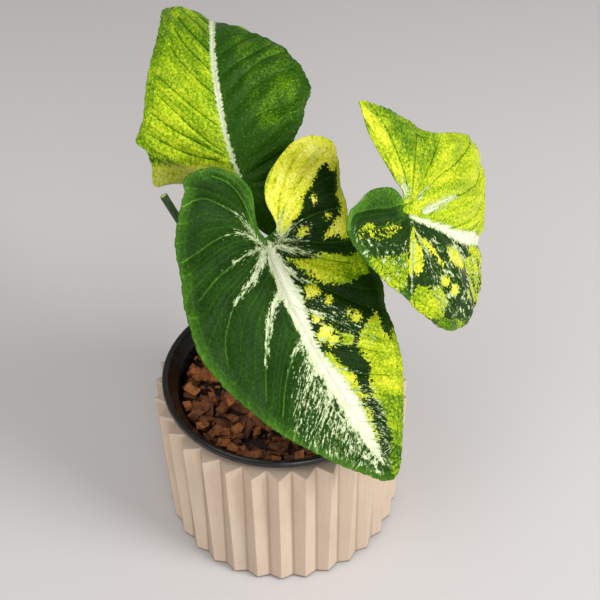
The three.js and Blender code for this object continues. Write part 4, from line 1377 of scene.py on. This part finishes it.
def cast_stone(tree):
    """Cast sand-coloured stone: matt, with fine drawn lines down the pleats, painted shade in the folds
    and a painted shadow along the foot.
    """
    place = add(tree, "TexCoord", {}, {}).outputs["Object"]
    cloud = add(tree, "TexNoise", {}, {"Vector": place, "Scale": 1 / (30 * MM), "Detail": 3.0})
    drawn_out = add(tree, "Mapping", {}, {"Vector": place, "Scale": (1 / MM, 1 / MM, 0.03 / MM)})
    lines = add(tree, "TexNoise", {}, {"Vector": drawn_out, "Scale": 1.3, "Detail": 2.0})
    tooth = add(tree, "TexNoise", {}, {"Vector": place, "Scale": 1 / (0.6 * MM), "Detail": 4.0})
    grain = swayed(tree, cloud, (lines, 0.8))
    colour = graded(tree, grain, ((0.1, "#b9a48f"), (0.9, "#c8b4a0")))

    # Painted shade in the folds: distance out from the folds, which lie nearer the middle at the top than
    # at the foot, darkens the stone beside them
    split = add(tree, "SeparateXYZ", {}, {0: place})
    level = add(tree, "CombineXYZ", {}, {0: split.outputs[0], 1: split.outputs[1], 2: 0.0})
    radius = add(tree, "VectorMath", {"operation": "LENGTH"}, {0: level}).outputs["Value"]
    fold = add(tree, "MapRange", {}, {0: split.outputs[2], 1: 0.0, 2: PLANTER_HEIGHT * MM,
                                      3: FOOT_VALLEY_RADIUS * MM, 4: TOP_VALLEY_RADIUS * MM})
    fold = add(tree, "Math", {"operation": "SUBTRACT"}, {0: radius, 1: fold})
    fold = add(tree, "MapRange", {}, {0: fold, 1: 0.1 * MM, 2: 0.7 * MM, 3: 0.75, 4: 0.0})
    below = add(tree, "MapRange", {}, {0: split.outputs[2], 1: (PLANTER_HEIGHT - 0.3) * MM,
                                       2: PLANTER_HEIGHT * MM, 3: 1.0, 4: 0.0})
    fold = add(tree, "Math", {"operation": "MULTIPLY"}, {0: fold, 1: below})
    # Painted shadow: a dark band just above the floor, where the planter's underside is shaded
    foot = add(tree, "MapRange", {}, {0: split.outputs[2], 1: 1.8 * MM, 2: 3.4 * MM, 3: 0.9, 4: 0.0})
    # The fold colour is painted shade and the foot colour a painted shadow, not the stone's own colour
    colour = layered(tree, colour, (fold, "#8f7a66"), (foot, "#5a4a3c"))
    bump = add(tree, "Bump", {}, {"Strength": 0.25, "Distance": 0.0002, "Height": tooth})
    return {"Base Color": colour, "Roughness": 0.82, "Normal": bump}


def moulded_plastic(tree):
    """Moulded black polypropylene: satin, lightly scuffed and dusty along its rim."""
    place = add(tree, "TexCoord", {}, {}).outputs["Object"]
    tooth = add(tree, "TexNoise", {}, {"Vector": place, "Scale": 1 / (0.8 * MM), "Detail": 3.0})
    scuff = add(tree, "TexNoise", {}, {"Vector": place, "Scale": 1 / (9 * MM), "Detail": 5.0,
                                       "Roughness": 0.7})
    mask = add(tree, "MapRange", {}, {0: scuff, 1: 0.52, 2: 0.7, 3: 0.0, 4: 0.5})
    colour = layered(tree, linear("#0b0b0c"), (mask, "#2a2a2c"))
    rough = add(tree, "MapRange", {}, {0: scuff, 1: 0.3, 2: 0.7, 3: 0.2, 4: 0.4})
    bump = add(tree, "Bump", {}, {"Strength": 0.2, "Distance": 0.0001, "Height": tooth})
    return {"Base Color": colour, "Roughness": rough, "Normal": bump, "Specular IOR Level": 0.35}


def orchid_bark(tree):
    """Composted pine bark: dry, fibrous, from rust orange to near black, with painted shade darkening the
    chips lower in the layer.
    """
    grain_place = add(tree, "Attribute", {"attribute_name": "grain"}, {}).outputs["Vector"]
    shade = add(tree, "Attribute", {"attribute_name": "shade"}, {}).outputs["Fac"]
    fibre_place = add(tree, "Mapping", {}, {"Vector": grain_place, "Scale": (0.12, 0.9, 1.6)})
    fibre = add(tree, "TexNoise", {}, {"Vector": fibre_place, "Scale": 1.6, "Detail": 4.0})
    patch = add(tree, "TexNoise", {}, {"Vector": grain_place, "Scale": 1 / 5, "Detail": 3.0})
    ember = layered(tree, linear("#8a4517"), (fibre, "#d98a45"))
    earth = layered(tree, linear("#4a2310"), (fibre, "#8f5128"))
    bright = add(tree, "MapRange", {}, {0: shade, 1: 0.35, 2: 0.75, 3: 0.0, 4: 1.0})
    height = add(tree, "TexCoord", {}, {}).outputs["Object"]
    height = add(tree, "SeparateXYZ", {}, {0: height}).outputs[2]
    # Painted shade: the lower a chip's surface lies among the others, the darker it is painted
    damp = add(tree, "MapRange", {}, {0: height, 1: (BARK_LEVEL + 1) * MM, 2: (BARK_LEVEL + 6) * MM,
                                      3: 0.9, 4: 0.0})
    dark = add(tree, "MapRange", {}, {0: patch, 1: 0.5, 2: 0.65, 3: 0.0, 4: 0.7})
    # The dark mask holds the bark's random dark patches together with the painted shade between the chips
    dark = add(tree, "Math", {"operation": "MAXIMUM"}, {0: dark, 1: damp})
    colour = layered(tree, earth, (bright, ember), (dark, "#2a1209"))
    bump = add(tree, "Bump", {}, {"Strength": 0.6, "Distance": 0.0005, "Height": fibre})
    return {"Base Color": colour, "Roughness": 0.78, "Normal": bump}


def damp_soil(tree):
    """Fine damp soil and bark dust: crumbly and nearly black."""
    place = add(tree, "TexCoord", {}, {}).outputs["Object"]
    crumb = add(tree, "TexNoise", {}, {"Vector": place, "Scale": 1 / (1.5 * MM), "Detail": 5.0})
    colour = layered(tree, linear("#120a06"), (crumb, "#3a2418"))
    bump = add(tree, "Bump", {}, {"Strength": 1.0, "Distance": 0.001, "Height": crumb})
    return {"Base Color": colour, "Roughness": 0.9, "Normal": bump}


def studio_paper(tree):
    """Seamless paper: plain, pale grey and matt."""
    return {"Base Color": linear("#cac7c6"), "Roughness": 0.9, "Specular IOR Level": 0.2}


# Studio


def studio_floor(material):
    bm = bmesh.new()
    bmesh.ops.create_grid(bm, x_segments=1, y_segments=1, size=6)
    mesh = bpy.data.meshes.new("floor")
    bm.to_mesh(mesh)
    bm.free()
    mesh.materials.append(material)
    floor = bpy.data.objects.new("floor", mesh)
    bpy.context.scene.collection.objects.link(floor)


def softbox(name, place, size, power):
    """A soft lamp that faces the middle of the plant."""
    lamp = bpy.data.lights.new(name, "AREA")
    lamp.shape = "DISK"
    lamp.size = size
    lamp.energy = power
    light = bpy.data.objects.new(name, lamp)
    light.location = place
    aim = Vector((0, 0, 0.12)) - Vector(place)
    light.rotation_euler = aim.to_track_quat("-Z", "Y").to_euler()
    bpy.context.scene.collection.objects.link(light)


def studio_air():
    world = bpy.data.worlds.new("studio air")
    world.use_nodes = True
    sky = world.node_tree.nodes["Background"]
    sky.inputs["Color"].default_value = (1, 0.99, 0.98, 1)
    sky.inputs["Strength"].default_value = 0.48
    bpy.context.scene.world = world


def camera():
    lens = bpy.data.cameras.new("view")
    lens.lens = CAMERA_LENS
    lens.sensor_width = 36
    view = bpy.data.objects.new("view", lens)
    view.location = Vector(CAMERA_PLACE) * MM
    view.rotation_euler = (math.radians(CAMERA_TILT), 0, 0)
    bpy.context.scene.collection.objects.link(view)
    bpy.context.scene.camera = view


camera()
studio_air()
studio_floor(finish("seamless paper", studio_paper))
for lamp_values in LAMPS:
    softbox(*lamp_values)

# The leaf colours are saturated, so they are shown as mixed, without a film curve
bpy.context.scene.view_settings.view_transform = "Standard"

blade_skins = (finish("variegated leaf, upper face", leaf_upper), finish("leaf underside", leaf_under))
green_stalk = finish("fresh green stalk", stalk_skin("#4b7a2a", "#7da348"))
dark_stalk = finish("weathered dark stalk", stalk_skin("#16300c", "#2c5218"))

for leaf_name in LEAVES:
    leaf_blade(leaf_name, blade_skins)
    leaf_stalk(leaf_name, green_stalk)
cut_stalk(dark_stalk, finish("cut stalk flesh", cut_flesh))
stem_piece(green_stalk)
planter_piece(finish("cast sand stone", cast_stone))
pot_piece(finish("moulded black polypropylene", moulded_plastic))
bark_piece(finish("composted pine bark", orchid_bark))
bed_piece(finish("damp bark dust", damp_soil))
